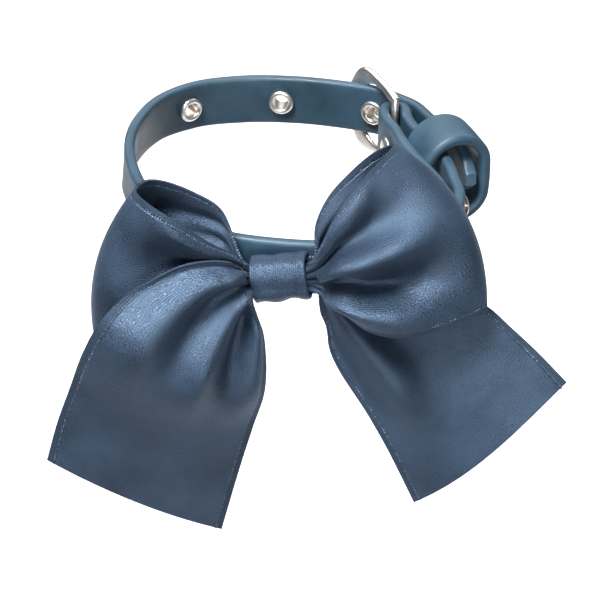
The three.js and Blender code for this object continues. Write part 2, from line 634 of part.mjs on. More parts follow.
// A ribbon as a thin closed body: sections between two selvages, bellied and folded, then thickened.
function ribbon(rows, folds, lengthSteps, widthSteps, rootRipple) {
  const curves = ribbonCurves(rows);
  const base = (s, u) => {
    const a = curves.top.getPoint(s);
    const b = curves.low.getPoint(s);
    return a.lerp(b, u);
  };
  const e = 0.004;
  const facing = (place, s, u) => {
    const s0 = Math.max(0, s - e);
    const s1 = Math.min(1, s + e);
    const u0 = Math.max(0, u - 0.02);
    const u1 = Math.min(1, u + 0.02);
    const ds = place(s1, u).sub(place(s0, u));
    const du = place(s, u1).sub(place(s, u0));
    return du.cross(ds).normalize();
  };
  const shaped = (s, u) => {
    const p = base(s, u);
    const n = facing(base, s, u);
    const belly = bellyAt(rows, s) * 4 * u * (1 - u);
    const near = Math.max(0, 1 - Math.min(s, rootRipple.two ? 1 - s : 1) / 0.14);
    const ripple = rootRipple.rise * near * Math.cos(u * Math.PI * 2 * rootRipple.count);
    const front = rootRipple.sign;
    return p.addScaledVector(n, front * (belly + foldHeight(folds, s, u) + ripple));
  };
  const outer = [];
  const inner = [];
  for (let i = 0; i <= lengthSteps; i += 1) {
    for (let j = 0; j <= widthSteps; j += 1) {
      const s = i / lengthSteps;
      const u = j / widthSteps;
      const p = shaped(s, u);
      const n = facing(shaped, s, u);
      outer.push(p.clone().addScaledVector(n, RIBBON_WALL / 2));
      inner.push(p.clone().addScaledVector(n, -RIBBON_WALL / 2));
    }
  }
  const points = [...outer, ...inner];
  const shift = outer.length;
  const at = (i, j) => i * (widthSteps + 1) + j;
  const triangles = [];
  for (let i = 0; i < lengthSteps; i += 1) {
    for (let j = 0; j < widthSteps; j += 1) {
      const a = at(i, j);
      const b = at(i, j + 1);
      const c = at(i + 1, j + 1);
      const d = at(i + 1, j);
      triangles.push([a, b, c], [a, c, d], [a + shift, c + shift, b + shift], [a + shift, d + shift, c + shift]);
    }
  }
  const rim = [];
  for (let i = 0; i < lengthSteps; i += 1) rim.push([at(i, 0), at(i + 1, 0)]);
  for (let j = 0; j < widthSteps; j += 1) rim.push([at(lengthSteps, j), at(lengthSteps, j + 1)]);
  for (let i = lengthSteps; i > 0; i -= 1) rim.push([at(i, widthSteps), at(i - 1, widthSteps)]);
  for (let j = widthSteps; j > 0; j -= 1) rim.push([at(0, j), at(0, j - 1)]);
  for (const [a, b] of rim) triangles.push([a, b, b + shift], [a, b + shift, a + shift]);
  return body(points, triangles);
}

// Assembly
const collar = new THREE.Group();
collar.name = 'dog_collar';
function add(name, geometry, material) {
  const mesh = new THREE.Mesh(plain(geometry), material);
  mesh.geometry.computeVertexNormals();
  mesh.name = name;
  collar.add(mesh);
}

add('strap', fromSolid(strapSolid), coatedStrap);
add('keeper', keeper(), coatedStrap);
add('buckle_frame', buckleFrame(), nickel);
add('buckle_tongue', buckleTongue(), nickel);
eyeletPlaces.forEach((place, i) => add(`eyelet_${i + 1}`, eyelet(place), nickel));
rivetLines.forEach((line, i) => add(`strap_rivet_${i + 1}`, rivet(line), nickel));
add('bow_post', bowPost(), nickel);
add('bow_knot', bowKnot(), satin);
const ripple = { rise: 0.2, count: 2, sign: -1, two: true };
add('bow_loop_left', ribbon(leftLoopRows, leftLoopFolds, 34, 12, ripple), satin);
add('bow_loop_right', ribbon(rightLoopRows, rightLoopFolds, 34, 12, { ...ripple, sign: 1 }), satin);
add('bow_tail_left', ribbon(leftTailRows, leftTailFolds, 20, 12, { ...ripple, two: false }), satin);
add('bow_tail_right', ribbon(rightTailRows, rightTailFolds, 20, 12, { ...ripple, sign: 1, two: false }), satin);

export default collar;
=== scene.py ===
"""Looks of a small dog collar with a satin ribbon bow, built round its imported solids.

The collar stands in the frame of its solids: metres, +Z along the neck, the bow facing -Y.
Sizes in the tables are in millimetres and are turned into metres where meshes are made.
"""
import logging
import math
from dataclasses import dataclass, field
from enum import Enum
from functools import cache

import bmesh
import bpy
import numpy as np
from mathutils import Matrix, Vector


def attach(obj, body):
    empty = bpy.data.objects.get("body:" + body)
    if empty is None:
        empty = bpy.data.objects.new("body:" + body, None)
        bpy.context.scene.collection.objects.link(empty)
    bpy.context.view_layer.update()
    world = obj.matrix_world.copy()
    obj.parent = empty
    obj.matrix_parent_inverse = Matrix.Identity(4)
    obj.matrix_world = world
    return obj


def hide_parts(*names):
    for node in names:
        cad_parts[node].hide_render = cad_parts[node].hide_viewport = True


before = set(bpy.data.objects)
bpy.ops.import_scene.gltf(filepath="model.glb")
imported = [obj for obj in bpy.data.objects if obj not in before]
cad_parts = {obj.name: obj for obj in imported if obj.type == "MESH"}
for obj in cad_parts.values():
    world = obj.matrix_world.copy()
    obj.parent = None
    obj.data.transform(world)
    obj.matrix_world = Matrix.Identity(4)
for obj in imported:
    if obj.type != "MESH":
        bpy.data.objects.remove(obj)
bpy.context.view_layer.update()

MM = 0.001
BODY = "root"
SEED = 7
log = logging.getLogger("collar")

Array = np.ndarray
Row = tuple[float, ...]
Piece = bpy.types.Object
Node = bpy.types.Node
Socket = bpy.types.NodeSocket
Material = bpy.types.Material
FULL_TURN = 2 * math.pi
WELD = 2e-6


class Slot(Enum):
    """The record's material slots."""

    STRAP = "coated_strap"
    METAL = "nickel"
    RIBBON = "satin_ribbon"


class Face(Enum):
    """Which way a ribbon's folds stand, as the sign of its grid's own normal."""

    WITH_NORMAL = 1
    AGAINST_NORMAL = -1


# Curves and meshes


def unit(v: Array) -> Array:
    """Returns vectors of length one along the last axis."""
    return v / np.maximum(np.linalg.norm(v, axis=-1, keepdims=True), 1e-12)


def smoothstep(x: Array) -> Array:
    """Returns the soft step of x between 0 and 1."""
    x = np.clip(x, 0, 1)
    return x * x * (3 - 2 * x)


@dataclass(frozen=True)
class SmoothCurve:
    """A smooth open curve through points, evenly pulled so that it never loops.

    Args:
        points: the points that it passes, one row each.
    """

    points: Array

    def at(self, t: Array) -> Array:
        """Places on the curve.

        Args:
            t: places from 0 to 1, in equal parts from point to point.

        Returns:
            One row of coordinates for each place.
        """
        last = len(self.points) - 1
        place = np.clip(np.asarray(t, float), 0, 1) * last
        i = np.minimum(place.astype(int), last - 1)
        w = (place - i)[..., None]
        first_ghost = 2 * self.points[0] - self.points[1]
        last_ghost = 2 * self.points[-1] - self.points[-2]
        longer = np.vstack([first_ghost, self.points, last_ghost])
        p0, p1, p2, p3 = (longer[i + k] for k in range(4))
        d0, d1, d2 = (
            np.maximum(np.linalg.norm(b - a, axis=-1, keepdims=True), 1e-9) ** 0.5
            for a, b in ((p0, p1), (p1, p2), (p2, p3))
        )
        m1 = ((p1 - p0) / d0 - (p2 - p0) / (d0 + d1) + (p2 - p1) / d1) * d1
        m2 = ((p2 - p1) / d1 - (p3 - p1) / (d1 + d2) + (p3 - p2) / d2) * d1
        c2 = -3 * p1 + 3 * p2 - 2 * m1 - m2
        c3 = 2 * p1 - 2 * p2 + m1 + m2
        return p1 + m1 * w + c2 * w**2 + c3 * w**3

    def along(self, t: Array) -> Array:
        """Returns the direction of the curve at places t."""
        t = np.asarray(t, float)
        return unit(self.at(np.minimum(t + 1e-4, 1)) - self.at(np.maximum(t - 1e-4, 0)))

    def even(self, count: int) -> Array:
        """Returns count places from 0 to 1 that are equally far apart on the curve."""
        t = np.linspace(0, 1, 4001)
        steps = np.linalg.norm(np.diff(self.at(t), axis=0), axis=1)
        run = np.concatenate([[0], np.cumsum(steps)])
        return np.interp(np.linspace(0, run[-1], count), run, t)

    def nearest(self, point: Array, low: float = 0, high: float = 1) -> float:
        """Returns the place between low and high that is nearest to a point."""
        t = np.linspace(low, high, 4001)
        return float(t[np.argmin(np.linalg.norm(self.at(t) - point, axis=1))])


def lay_cloth(mesh: bpy.types.Mesh, uv: Array) -> None:
    """Gives a mesh its places on the flat cloth: one row of two numbers in metres for each corner."""
    layer = mesh.uv_layers.new(name="cloth")
    corner = np.zeros(len(mesh.loops), int)
    mesh.loops.foreach_get("vertex_index", corner)
    layer.uv.foreach_set("vector", np.asarray(uv)[corner].astype(np.float32).ravel())


def new_object(name: str, points: Array, faces: list, uv: Array | None = None) -> Piece:
    """Makes a mesh object from points in millimetres.

    Args:
        name: the piece's name.
        points: one row of coordinates for each corner.
        faces: lists of corner numbers, or edges of two where it is a path.
        uv: one row of two numbers for each corner, in metres on the cloth.

    Returns:
        The object, linked to the scene, at the origin.
    """
    mesh = bpy.data.meshes.new(name)
    is_path = bool(faces) and len(faces[0]) == 2
    mesh.from_pydata((np.asarray(points) * MM).tolist(), faces if is_path else [], [] if is_path else faces)
    if uv is not None:
        lay_cloth(mesh, uv)
    mesh.validate()
    mesh.polygons.foreach_set("use_smooth", [True] * len(mesh.polygons))
    made = bpy.data.objects.new(name, mesh)
    bpy.context.scene.collection.objects.link(made)
    return made


def face_outwards(piece: Piece, weld: float = 0) -> Piece:
    """Turns every face of a closed piece outwards and returns the piece.

    Args:
        piece: the closed piece.
        weld: corners nearer to each other than this, in metres, become one.

    Returns:
        The piece.
    """
    b = bmesh.new()
    b.from_mesh(piece.data)
    if weld:
        bmesh.ops.remove_doubles(b, verts=b.verts[:], dist=weld)
    bmesh.ops.recalc_face_normals(b, faces=b.faces[:])
    b.to_mesh(piece.data)
    b.free()
    return piece


def soften(piece: Piece, degrees: float) -> Piece:
    """Shades a piece smoothly except across edges sharper than an angle, and returns it."""
    piece.data.set_sharp_from_angle(angle=math.radians(degrees))
    return piece


def grid_faces(rows: int, columns: int, loop_rows: bool, loop_columns: bool) -> list:
    """Faces of a grid of points.

    Args:
        rows: how many rows of points.
        columns: how many points in a row.
        loop_rows: whether the last row joins the first.
        loop_columns: whether a row closes on itself.

    Returns:
        Lists of four corner numbers.
    """
    faces = []
    for i in range(rows if loop_rows else rows - 1):
        for j in range(columns if loop_columns else columns - 1):
            k, m = (i + 1) % rows, (j + 1) % columns
            faces.append([i * columns + j, i * columns + m, k * columns + m, k * columns + j])
    return faces


def sweep(name: str, rings: Array, closed: bool) -> Piece:
    """Joins rings of points into a tube, with flat ends unless it closes on itself.

    Args:
        name: the piece's name.
        rings: an array of rings, each a list of points in millimetres.
        closed: whether the last ring joins the first.

    Returns:
        The tube, facing outwards.
    """
    count, sides = rings.shape[:2]
    faces = grid_faces(count, sides, closed, True)
    if not closed:
        faces += [list(range(sides)), list(range((count - 1) * sides, count * sides))]
    return face_outwards(new_object(name, rings.reshape(-1, 3), faces))


def rounded_box(width: float, height: float, corner: float, steps: int, straight: int = 4) -> Array:
    """The outline of a rectangle with rounded corners.

    Args:
        width: its size along the first axis.
        height: its size along the second axis.
        corner: the radius of its corners.
        steps: points in each corner.
        straight: further points on each straight side.

    Returns:
        Rows of place and outward direction: x, y, nx, ny.
    """
    rows = []
    for quarter, (sx, sy) in enumerate(((1, 1), (-1, 1), (-1, -1), (1, -1))):
        for a in (quarter + np.linspace(0, 1, steps)) * math.pi / 2:
            c, s = math.cos(a), math.sin(a)
            x, y = sx * (width / 2 - corner), sy * (height / 2 - corner)
            rows.append((x + corner * c, y + corner * s, c, s))
    outline = []
    for i, row in enumerate(rows):
        outline.append(row)
        if (i + 1) % steps == 0:
            here, after = np.array(row), np.array(rows[(i + 1) % len(rows)])
            for k in range(1, straight + 1):
                outline.append(tuple(here + (after - here) * k / (straight + 1)))
    return np.array(outline)


def turned(name: str, profile: list[Row], centre: Array, axis: Array, segments: int = 48) -> Piece:
    """Turns a profile round an axis.

    Args:
        name: the piece's name.
        profile: radius and height of each point, from one end to the other.
        centre: where height 0 lies.
        axis: the direction of the height.
        segments: how many sides the turned form has.

    Returns:
        The closed turned form.
    """
    axis = unit(np.asarray(axis, float))
    side = unit(np.cross(axis, [0.3, 0.2, 1.0]))
    other = np.cross(axis, side)
    angles = np.arange(segments) / segments * FULL_TURN
    round_it = side * np.cos(angles)[:, None] + other * np.sin(angles)[:, None]
    ring = [centre + axis * h + round_it * max(r, 1e-4) for r, h in profile]
    open_ended = profile[0][0] < 1e-3
    faces = grid_faces(len(ring), segments, not open_ended, True)
    return face_outwards(new_object(name, np.vstack(ring), faces), WELD)


def join(pieces: list[Piece]) -> Piece:
    """Joins meshes into the first one and returns it."""
    b = bmesh.new()
    for piece in pieces:
        b.from_mesh(piece.data)
    b.to_mesh(pieces[0].data)
    b.free()
    for piece in pieces[1:]:
        bpy.data.objects.remove(piece)
    return pieces[0]


def settle(piece: Piece) -> Piece:
    """Replaces a piece's mesh by what its modifiers make of it, removes them, and returns the piece."""
    graph = bpy.context.evaluated_depsgraph_get()
    result = bpy.data.meshes.new_from_object(piece.evaluated_get(graph), depsgraph=graph)
    piece.modifiers.clear()
    piece.data = result
    return piece


def carve(piece: Piece, cutters: list[Piece]) -> Piece:
    """Cuts closed cutters out of a closed piece.

    Args:
        piece: what is cut.
        cutters: what is taken away, and deleted afterwards.

    Returns:
        The piece.
    """
    for cutter in cutters:
        cut = piece.modifiers.new("cut", "BOOLEAN")
        cut.operation = "DIFFERENCE"
        cut.solver = "EXACT"
        cut.object = cutter
        settle(piece)
        bpy.data.objects.remove(cutter)
    return piece


def cylinder(radius: float, length: float, centre: Array, axis: Array) -> Piece:
    """Returns a closed round cutter, in millimetres."""
    half = length / 2
    return turned("cutter", [(0, -half), (radius, -half), (radius, half), (0, half)], centre, axis, 40)


# Shader and geometry trees


class Tree:
    """A node tree under construction.

    Args:
        tree: the shader or geometry tree that nodes are added to.
    """

    def __init__(self, tree: bpy.types.NodeTree) -> None:
        """Keeps the tree."""
        self.tree = tree

    def add(self, kind: str, inputs: dict | None = None, **settings: object) -> Node:
        """Adds a node.

        Args:
            kind: the node's type name.
            inputs: values or sockets for its inputs, by name or number.
            settings: values for the node's own properties.

        Returns:
            The node.
        """
        node = self.tree.nodes.new(kind)
        for key, value in settings.items():
            setattr(node, key, value)
        for key, value in (inputs or {}).items():
            self.feed(node.inputs[key], value)
        return node

    def feed(self, socket: Socket, value: object) -> None:
        """Gives an input a plain value, or links it where the value is an output."""
        if isinstance(value, Socket):
            self.tree.links.new(value, socket)
        else:
            socket.default_value = value

    def math(self, operation: str, *values: object) -> Socket:
        """Returns the result of a math node on one to three values or sockets."""
        return self.add("ShaderNodeMath", dict(enumerate(values)), operation=operation).outputs[0]

    def plus(self, one: object, other: object) -> Socket:
        """Returns the sum of two values or sockets."""
        return self.math("ADD", one, other)

    def minus(self, one: object, other: object) -> Socket:
        """Returns one value or socket less the other."""
        return self.math("SUBTRACT", one, other)

    def times(self, one: object, other: object) -> Socket:
        """Returns the product of two values or sockets."""
        return self.math("MULTIPLY", one, other)

    def over(self, one: object, other: object) -> Socket:
        """Returns one value or socket divided by the other."""
        return self.math("DIVIDE", one, other)

    def ramp(self, value: Socket, low: float, high: float, to_low: float = 0, to_high: float = 1) -> Socket:
        """Returns a value carried softly from one range to another."""
        inputs = {"Value": value, "From Min": low, "From Max": high, "To Min": to_low, "To Max": to_high}
        return self.add("ShaderNodeMapRange", inputs, interpolation_type="SMOOTHSTEP").outputs["Result"]

    def mix(self, share: object, one: object, other: object) -> Socket:
        """Returns a mix of two colours or colour sockets."""
        return self.add("ShaderNodeMix", {0: share, 6: one, 7: other}, data_type="RGBA").outputs[2]

    def noise(self, vector: Socket, scale: object, detail: float, roughness: float = 0.5) -> Socket:
        """Returns the value of a noise texture, from 0 to 1."""
        inputs = {"Vector": vector, "Scale": scale, "Detail": detail, "Roughness": roughness}
        return self.add("ShaderNodeTexNoise", inputs).outputs[0]

    def place(self) -> Socket:
        """Returns the place on the object, in metres."""
        return self.add("ShaderNodeTexCoord").outputs["Object"]


def group(name: str, kind: str, inputs: list[tuple], outputs: list[tuple]) -> tuple[Tree, Node, Node]:
    """Starts a node group.

    Args:
        name: the group's name.
        kind: ShaderNodeTree or GeometryNodeTree.
        inputs: name, socket type and default value (or None) of each input.
        outputs: name and socket type of each output.

    Returns:
        The tree under construction, its input node and its output node.
    """
    tree = bpy.data.node_groups.new(name, kind)
    for label, socket, value in inputs:
        made = tree.interface.new_socket(label, in_out="INPUT", socket_type=socket)
        if value is not None:
            made.default_value = value
    for label, socket in outputs:
        tree.interface.new_socket(label, in_out="OUTPUT", socket_type=socket)
    build = Tree(tree)
    return build, build.add("NodeGroupInput"), build.add("NodeGroupOutput")


@cache
def weave_group() -> bpy.types.NodeTree:
    """Returns the shader group that gives cloth its threads, in height and in shade."""
    number = "NodeSocketFloat"
    build, given, out = group(
        "ribbon weave", "ShaderNodeTree",
        [("Cloth", "NodeSocketVector", None), ("Across Pitch", number, 0.00042),
         ("Along Pitch", number, 0.0006), ("Slub", number, 0.5)],
        [("Height", number), ("Shade", number)])
    split = build.add("ShaderNodeSeparateXYZ", {0: given.outputs["Cloth"]})
    across = build.over(split.outputs["X"], given.outputs["Across Pitch"])
    along = build.over(split.outputs["Y"], given.outputs["Along Pitch"])
    rib = build.math("SINE", build.times(across, FULL_TURN))
    slant = build.plus(build.times(across, 0.5), along)
    twill = build.math("SINE", build.times(slant, FULL_TURN))
    stretched = build.add("ShaderNodeCombineXYZ", {0: across, 1: build.times(along, 1.2), 2: 0.0})
    slub = build.noise(stretched.outputs[0], 1.3, 2.0, 0.55)
    rough = build.times(build.minus(slub, 0.5), given.outputs["Slub"])
    height = build.plus(build.times(rib, 0.22), build.times(twill, 0.05))
    build.feed(out.inputs["Height"], build.plus(height, build.times(rough, 2.0)))
    build.feed(out.inputs["Shade"], build.plus(0.5, build.plus(build.times(height, 0.35), rough)))
    return build.tree


@cache
def wear_and_edges_group() -> bpy.types.NodeTree:
    """Returns the shader group for an edge mask, handling marks and fine grain; the strap paints a highlight
    along the edge mask, the nickel dulls its hollows with it.
    """
    number = "NodeSocketFloat"
    build, given, out = group(
        "surface wear", "ShaderNodeTree",
        [("Grain Size", number, 0.001), ("Mark Size", number, 0.01), ("Edge Start", number, 0.52),
         ("Edge Full", number, 0.6)],
        [("Edge", number), ("Marks", number), ("Grain", number)])
    place = build.place()
    parts = {}
    for label, size in (("Grain", "Grain Size"), ("Marks", "Mark Size")):
        parts[label] = build.noise(place, build.over(1.0, given.outputs[size]), 4.0, 0.55)
        build.feed(out.inputs[label], parts[label])
    bend = build.add("ShaderNodeNewGeometry").outputs["Pointiness"]
    spread = build.minus(given.outputs["Edge Full"], given.outputs["Edge Start"])
    edge = build.over(build.minus(bend, given.outputs["Edge Start"]), spread)
    broken = build.times(edge, build.ramp(parts["Marks"], 0.35, 0.65, 0.4, 1.0))
    build.feed(out.inputs["Edge"], build.add("ShaderNodeClamp", {0: broken}).outputs[0])
    return build.tree


def linear(red: int, green: int, blue: int) -> tuple[float, float, float, float]:
    """Returns a shader colour from a screen colour of three numbers up to 255."""
    parts = [c / 255 for c in (red, green, blue)]
    return (*(c / 12.92 if c <= 0.04045 else ((c + 0.055) / 1.055) ** 2.4 for c in parts), 1.0)


@dataclass
class Paint:
    """A material under construction, with one Principled shader.

    Args:
        name: the material's name.
        fixed: values set on the shader's own sockets.
    """

    name: str
    fixed: dict

    def __post_init__(self) -> None:
        """Makes the material, its tree and its shader."""
        self.material = bpy.data.materials.new(self.name)
        self.material.use_nodes = True
        self.build = Tree(self.material.node_tree)
        self.shader = self.material.node_tree.nodes["Principled BSDF"]
        for key, value in self.fixed.items():
            self.shader.inputs[key].default_value = value

    def wear_and_edges(self, grain: float, mark: float, edge: Row) -> Node:
        """Returns a node of the edge mask, marks and grain, with their sizes and the edge's two limits."""
        sizes = {"Grain Size": grain, "Mark Size": mark, "Edge Start": edge[0], "Edge Full": edge[1]}
        return self.build.add("ShaderNodeGroup", sizes, node_tree=wear_and_edges_group())

    def feed(self, label: str, value: Socket) -> None:
        """Links one of the shader's inputs."""
        self.build.feed(self.shader.inputs[label], value)

    def emboss(self, height: Socket, strength: float, distance: float) -> None:
        """Gives the shader a bump of a height, a strength and a depth in metres."""
        inputs = {"Height": height, "Strength": strength, "Distance": distance}
        self.feed("Normal", self.build.add("ShaderNodeBump", inputs).outputs[0])


@dataclass(frozen=True)
class StrapCoat:
    """The smooth petrol-blue coating of the strap, slightly greyed by handling, with a painted highlight
    along its rounded edges.
    """

    deep: tuple = (23, 46, 60)
    pale: tuple = (38, 62, 78)
    # The paler colour of the painted highlight along the strap's rounded edges.
    edge_highlight: tuple = (80, 104, 124)
    roughness: float = 0.5
    grain: float = 0.0009
    mark: float = 0.011
    edge: Row = (0.505, 0.56)

    def build(self) -> Material:
        """Returns the coating's material."""
        fixed = {"Specular IOR Level": 0.32, "Coat Roughness": 0.35, "Coat IOR": 1.45}
        paint = Paint("strap_coating", fixed)
        build = paint.build
        wear_and_edges = paint.wear_and_edges(self.grain, self.mark, self.edge)
        marks = wear_and_edges.outputs["Marks"]
        body = build.mix(build.ramp(marks, 0.3, 0.75), linear(*self.deep), linear(*self.pale))
        # Painted highlight: the rounded edges are mixed towards a paler colour, broken up by the handling
        # marks.
        edge_highlight = build.times(wear_and_edges.outputs["Edge"], 0.35)
        paint.feed("Base Color", build.mix(edge_highlight, body, linear(*self.edge_highlight)))
        smooth, dull = self.roughness - 0.05, self.roughness + 0.08
        paint.feed("Roughness", build.ramp(marks, 0.3, 0.7, smooth, dull))
        paint.feed("Coat Weight", build.ramp(marks, 0.4, 0.8, 0.15, 0.05))
        pores = build.add("ShaderNodeTexVoronoi", {"Vector": build.place(), "Scale": 1600.0})
        height = build.plus(wear_and_edges.outputs["Grain"], build.times(pores.outputs["Distance"], 0.35))
        paint.emboss(height, 0.1, 0.0002)
        return paint.material


@dataclass(frozen=True)
class NickelPlate:
    """Polished nickel plate, with fine rubbed lines and dulled hollows."""

    bright: tuple = (226, 220, 212)
    dull: tuple = (150, 146, 142)
    roughness: float = 0.27
    grain: float = 0.0004
    mark: float = 0.003
    edge: Row = (0.42, 0.5)

    def build(self) -> Material:
        """Returns the metal's material."""
        paint = Paint("nickel_plate", {"Metallic": 1.0})
        build = paint.build
        wear_and_edges = paint.wear_and_edges(self.grain, self.mark, self.edge)
        marks = wear_and_edges.outputs["Marks"]
        share = build.times(build.ramp(marks, 0.45, 0.8), 0.35)
        hollow = build.minus(1.0, wear_and_edges.outputs["Edge"])
        tone = build.math("MAXIMUM", share, build.times(hollow, 0.1))
        paint.feed("Base Color", build.mix(tone, linear(*self.bright), linear(*self.dull)))
        paint.feed("Roughness", build.ramp(marks, 0.3, 0.8, self.roughness, self.roughness + 0.14))
        paint.emboss(wear_and_edges.outputs["Grain"], 0.02, 0.0001)
        return paint.material


@dataclass(frozen=True)
class SatinRibbon:
    """Slate-blue double-face satin: fine ribs and slubs, a soft gleam, darker woven edges, and a painted
    shade along the stitched groove near each edge.
    """

    deep: tuple = (10, 19, 29)
    pale: tuple = (50, 65, 84)
    selvage: tuple = (24, 34, 47)
    roughness: float = 0.49
    metallic: float = 0.3
    metallic_swing: float = 0.26
    slub: float = 1.2
    width: float = 0.040
    edge: float = 0.0013

    def build(self) -> Material:
        """Returns the satin's material."""
        fixed = {"Specular IOR Level": 0.85, "Specular Tint": linear(180, 208, 240),
                 "Sheen Weight": 0.12, "Sheen Roughness": 0.4, "Sheen Tint": linear(150, 172, 205)}
        paint = Paint("satin_ribbon", fixed)
        build = paint.build
        cloth = build.add("ShaderNodeUVMap", uv_map="cloth").outputs[0]
        weave = build.add("ShaderNodeGroup", {"Cloth": cloth, "Slub": self.slub}, node_tree=weave_group())
        shade = weave.outputs["Shade"]
        split = build.add("ShaderNodeSeparateXYZ", {0: cloth})
        from_edge = build.math("MINIMUM", split.outputs["X"], build.minus(self.width, split.outputs["X"]))
        hem = build.ramp(from_edge, self.edge * 0.8, self.edge * 1.2, 1.0, 0.0)
        line = build.times(build.ramp(from_edge, self.edge * 0.9, self.edge * 1.15),
                           build.ramp(from_edge, self.edge * 1.15, self.edge * 1.4, 1.0, 0.0))
        clouds = build.noise(cloth, 90.0, 3.0)
        tone = build.plus(build.times(shade, 0.7), build.times(clouds, 0.3))
        body = build.mix(build.ramp(tone, 0.35, 0.65), linear(*self.deep), linear(*self.pale))
        edged = build.mix(build.times(hem, 0.6), body, linear(*self.selvage))
        # Painted shade: the stitched groove near each edge is coloured a darker copy of the satin.
        furrow_shade = linear(*(c // 2 for c in self.deep))
        paint.feed("Base Color", build.mix(build.times(line, 0.6), edged, furrow_shade))
        clouded = build.ramp(clouds, 0.3, 0.7, self.roughness - 0.04, self.roughness + 0.05)
        gloss = build.plus(clouded, build.times(hem, 0.2))
        paint.feed("Roughness", build.plus(gloss, build.times(build.minus(shade, 0.5), 0.8)))
        low, high = self.metallic - self.metallic_swing, self.metallic + self.metallic_swing
        paint.feed("Metallic", build.ramp(shade, 0.3, 0.7, low, high))
        paint.emboss(build.minus(weave.outputs["Height"], build.times(line, 2.0)), 0.7, 0.0001)
        return paint.material


@dataclass(frozen=True)
class EdgeThread:
    """The paler thread of the stitches along the ribbon's edges."""

    deep: tuple = (34, 46, 60)
    pale: tuple = (84, 100, 122)

    def build(self) -> Material:
        """Returns the thread's material."""
        fixed = {"Specular IOR Level": 0.3, "Sheen Weight": 0.2, "Sheen Roughness": 0.4}
        paint = Paint("edge_thread", fixed)
        build = paint.build
        place = build.place()
        strands = build.noise(place, 2600.0, 3.0)
        patches = build.noise(place, 220.0, 2.0)
        share = build.ramp(build.plus(build.times(strands, 0.5), build.times(patches, 0.5)), 0.35, 0.65)
        paint.feed("Base Color", build.mix(share, linear(*self.deep), linear(*self.pale)))
        paint.feed("Roughness", build.ramp(patches, 0.3, 0.7, 0.45, 0.6))
        paint.emboss(strands, 0.4, 0.00008)
        return paint.material


@dataclass(frozen=True)
class PaleFloor:
    """A plain pale studio floor with the faintest unevenness."""

    pale: tuple = (190, 190, 192)
    shade: tuple = (184, 184, 187)

    def build(self) -> Material:
        """Returns the floor's material."""
        paint = Paint("pale_floor", {"Specular IOR Level": 0.2})
        build = paint.build
        cloud = build.noise(build.place(), 6.0, 2.0)
        paint.feed("Base Color", build.mix(cloud, linear(*self.pale), linear(*self.shade)))
        paint.feed("Roughness", build.ramp(cloud, 0.3, 0.7, 0.85, 0.95))
        return paint.material


@dataclass
class Finishes:
    """The materials that the collar's pieces share."""

    strap: Material = field(default_factory=lambda: StrapCoat().build())
    nickel: Material = field(default_factory=lambda: NickelPlate().build())
    satin: Material = field(default_factory=lambda: SatinRibbon().build())
    thread: Material = field(default_factory=lambda: EdgeThread().build())


def dress(piece: Piece, material: Material, slot: Slot, *nodes: str) -> Piece:
    """Gives a piece its material and body, and hides the solids that it stands for.

    Args:
        piece: the finished piece.
        material: what it is made of.
        slot: the record's slot; not used.
        nodes: the solids that it replaces.

    Returns:
        The piece.
    """
    piece.data.materials.clear()
    piece.data.materials.append(material)
    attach(piece, BODY)
    if nodes:
        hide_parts(*nodes)
    return piece


def set_input(modifier: bpy.types.Modifier, name: str, value: object) -> None:
    """Sets an input of a geometry modifier by the identifier of its named socket."""
    for item in modifier.node_group.interface.items_tree:
        if item.item_type == "SOCKET" and item.in_out == "INPUT" and item.name == name:
            modifier[item.identifier] = value
            return
    raise KeyError(name)


def end_tree(build: Tree, laid: Node, material: Socket, out: Socket) -> bpy.types.NodeTree:
    """Ends a geometry tree: what is laid becomes a plain smooth mesh with its material.

    Args:
        build: the tree under construction.
        laid: the node whose instances are made real.
        material: the output that gives the material.
        out: the input of the group's output node.

    Returns:
        The finished tree.
    """
    real = build.add("GeometryNodeRealizeInstances", {"Geometry": laid.outputs[0]})
    smooth = build.add("GeometryNodeSetShadeSmooth", {"Geometry": real.outputs[0]})
    painted = build.add("GeometryNodeSetMaterial", {"Geometry": smooth.outputs[0], "Material": material})
    build.feed(out, painted.outputs[0])
    return build.tree


@cache
def stitch_tree() -> bpy.types.NodeTree:
    """Returns the geometry tree that lays small stitches end to end along paths."""
    number = "NodeSocketFloat"
    build, given, out = group(
        "edge stitches", "GeometryNodeTree",
        [("Paths", "NodeSocketGeometry", None), ("Spacing", number, 0.0008),
         ("Stitch Length", number, 0.0009), ("Stitch Width", number, 0.0006), ("Unevenness", number, 0.15),
         ("Seed", "NodeSocketInt", SEED), ("Thread", "NodeSocketMaterial", None)],
        [("Stitches", "NodeSocketGeometry")])
    path = build.add("GeometryNodeMeshToCurve", {"Mesh": given.outputs["Paths"]}).outputs[0]
    steps = {"Curve": path, "Length": given.outputs["Spacing"]}
    spaced = build.add("GeometryNodeResampleCurve", steps, mode="LENGTH")
    ball = build.add("GeometryNodeMeshIcoSphere", {"Radius": 0.5, "Subdivisions": 2})
    width, length = given.outputs["Stitch Width"], given.outputs["Stitch Length"]
    size = build.add("ShaderNodeCombineXYZ", {0: width, 1: width, 2: length})
    stitch = build.add("GeometryNodeTransform", {"Geometry": ball.outputs["Mesh"], "Scale": size.outputs[0]})
    tangent = build.add("GeometryNodeInputTangent").outputs[0]
    aim = build.add("FunctionNodeAlignRotationToVector", {"Vector": tangent}, axis="Z")
    low = build.minus(1.0, given.outputs["Unevenness"])
    high = build.plus(1.0, given.outputs["Unevenness"])
    limits = {2: low, 3: high, "Seed": given.outputs["Seed"]}
    uneven = build.add("FunctionNodeRandomValue", limits, data_type="FLOAT")
    laid = build.add("GeometryNodeInstanceOnPoints", {
        "Points": spaced.outputs[0], "Instance": stitch.outputs[0], "Rotation": aim.outputs[0],
        "Scale": uneven.outputs[1]})
    return end_tree(build, laid, given.outputs["Thread"], out.inputs["Stitches"])


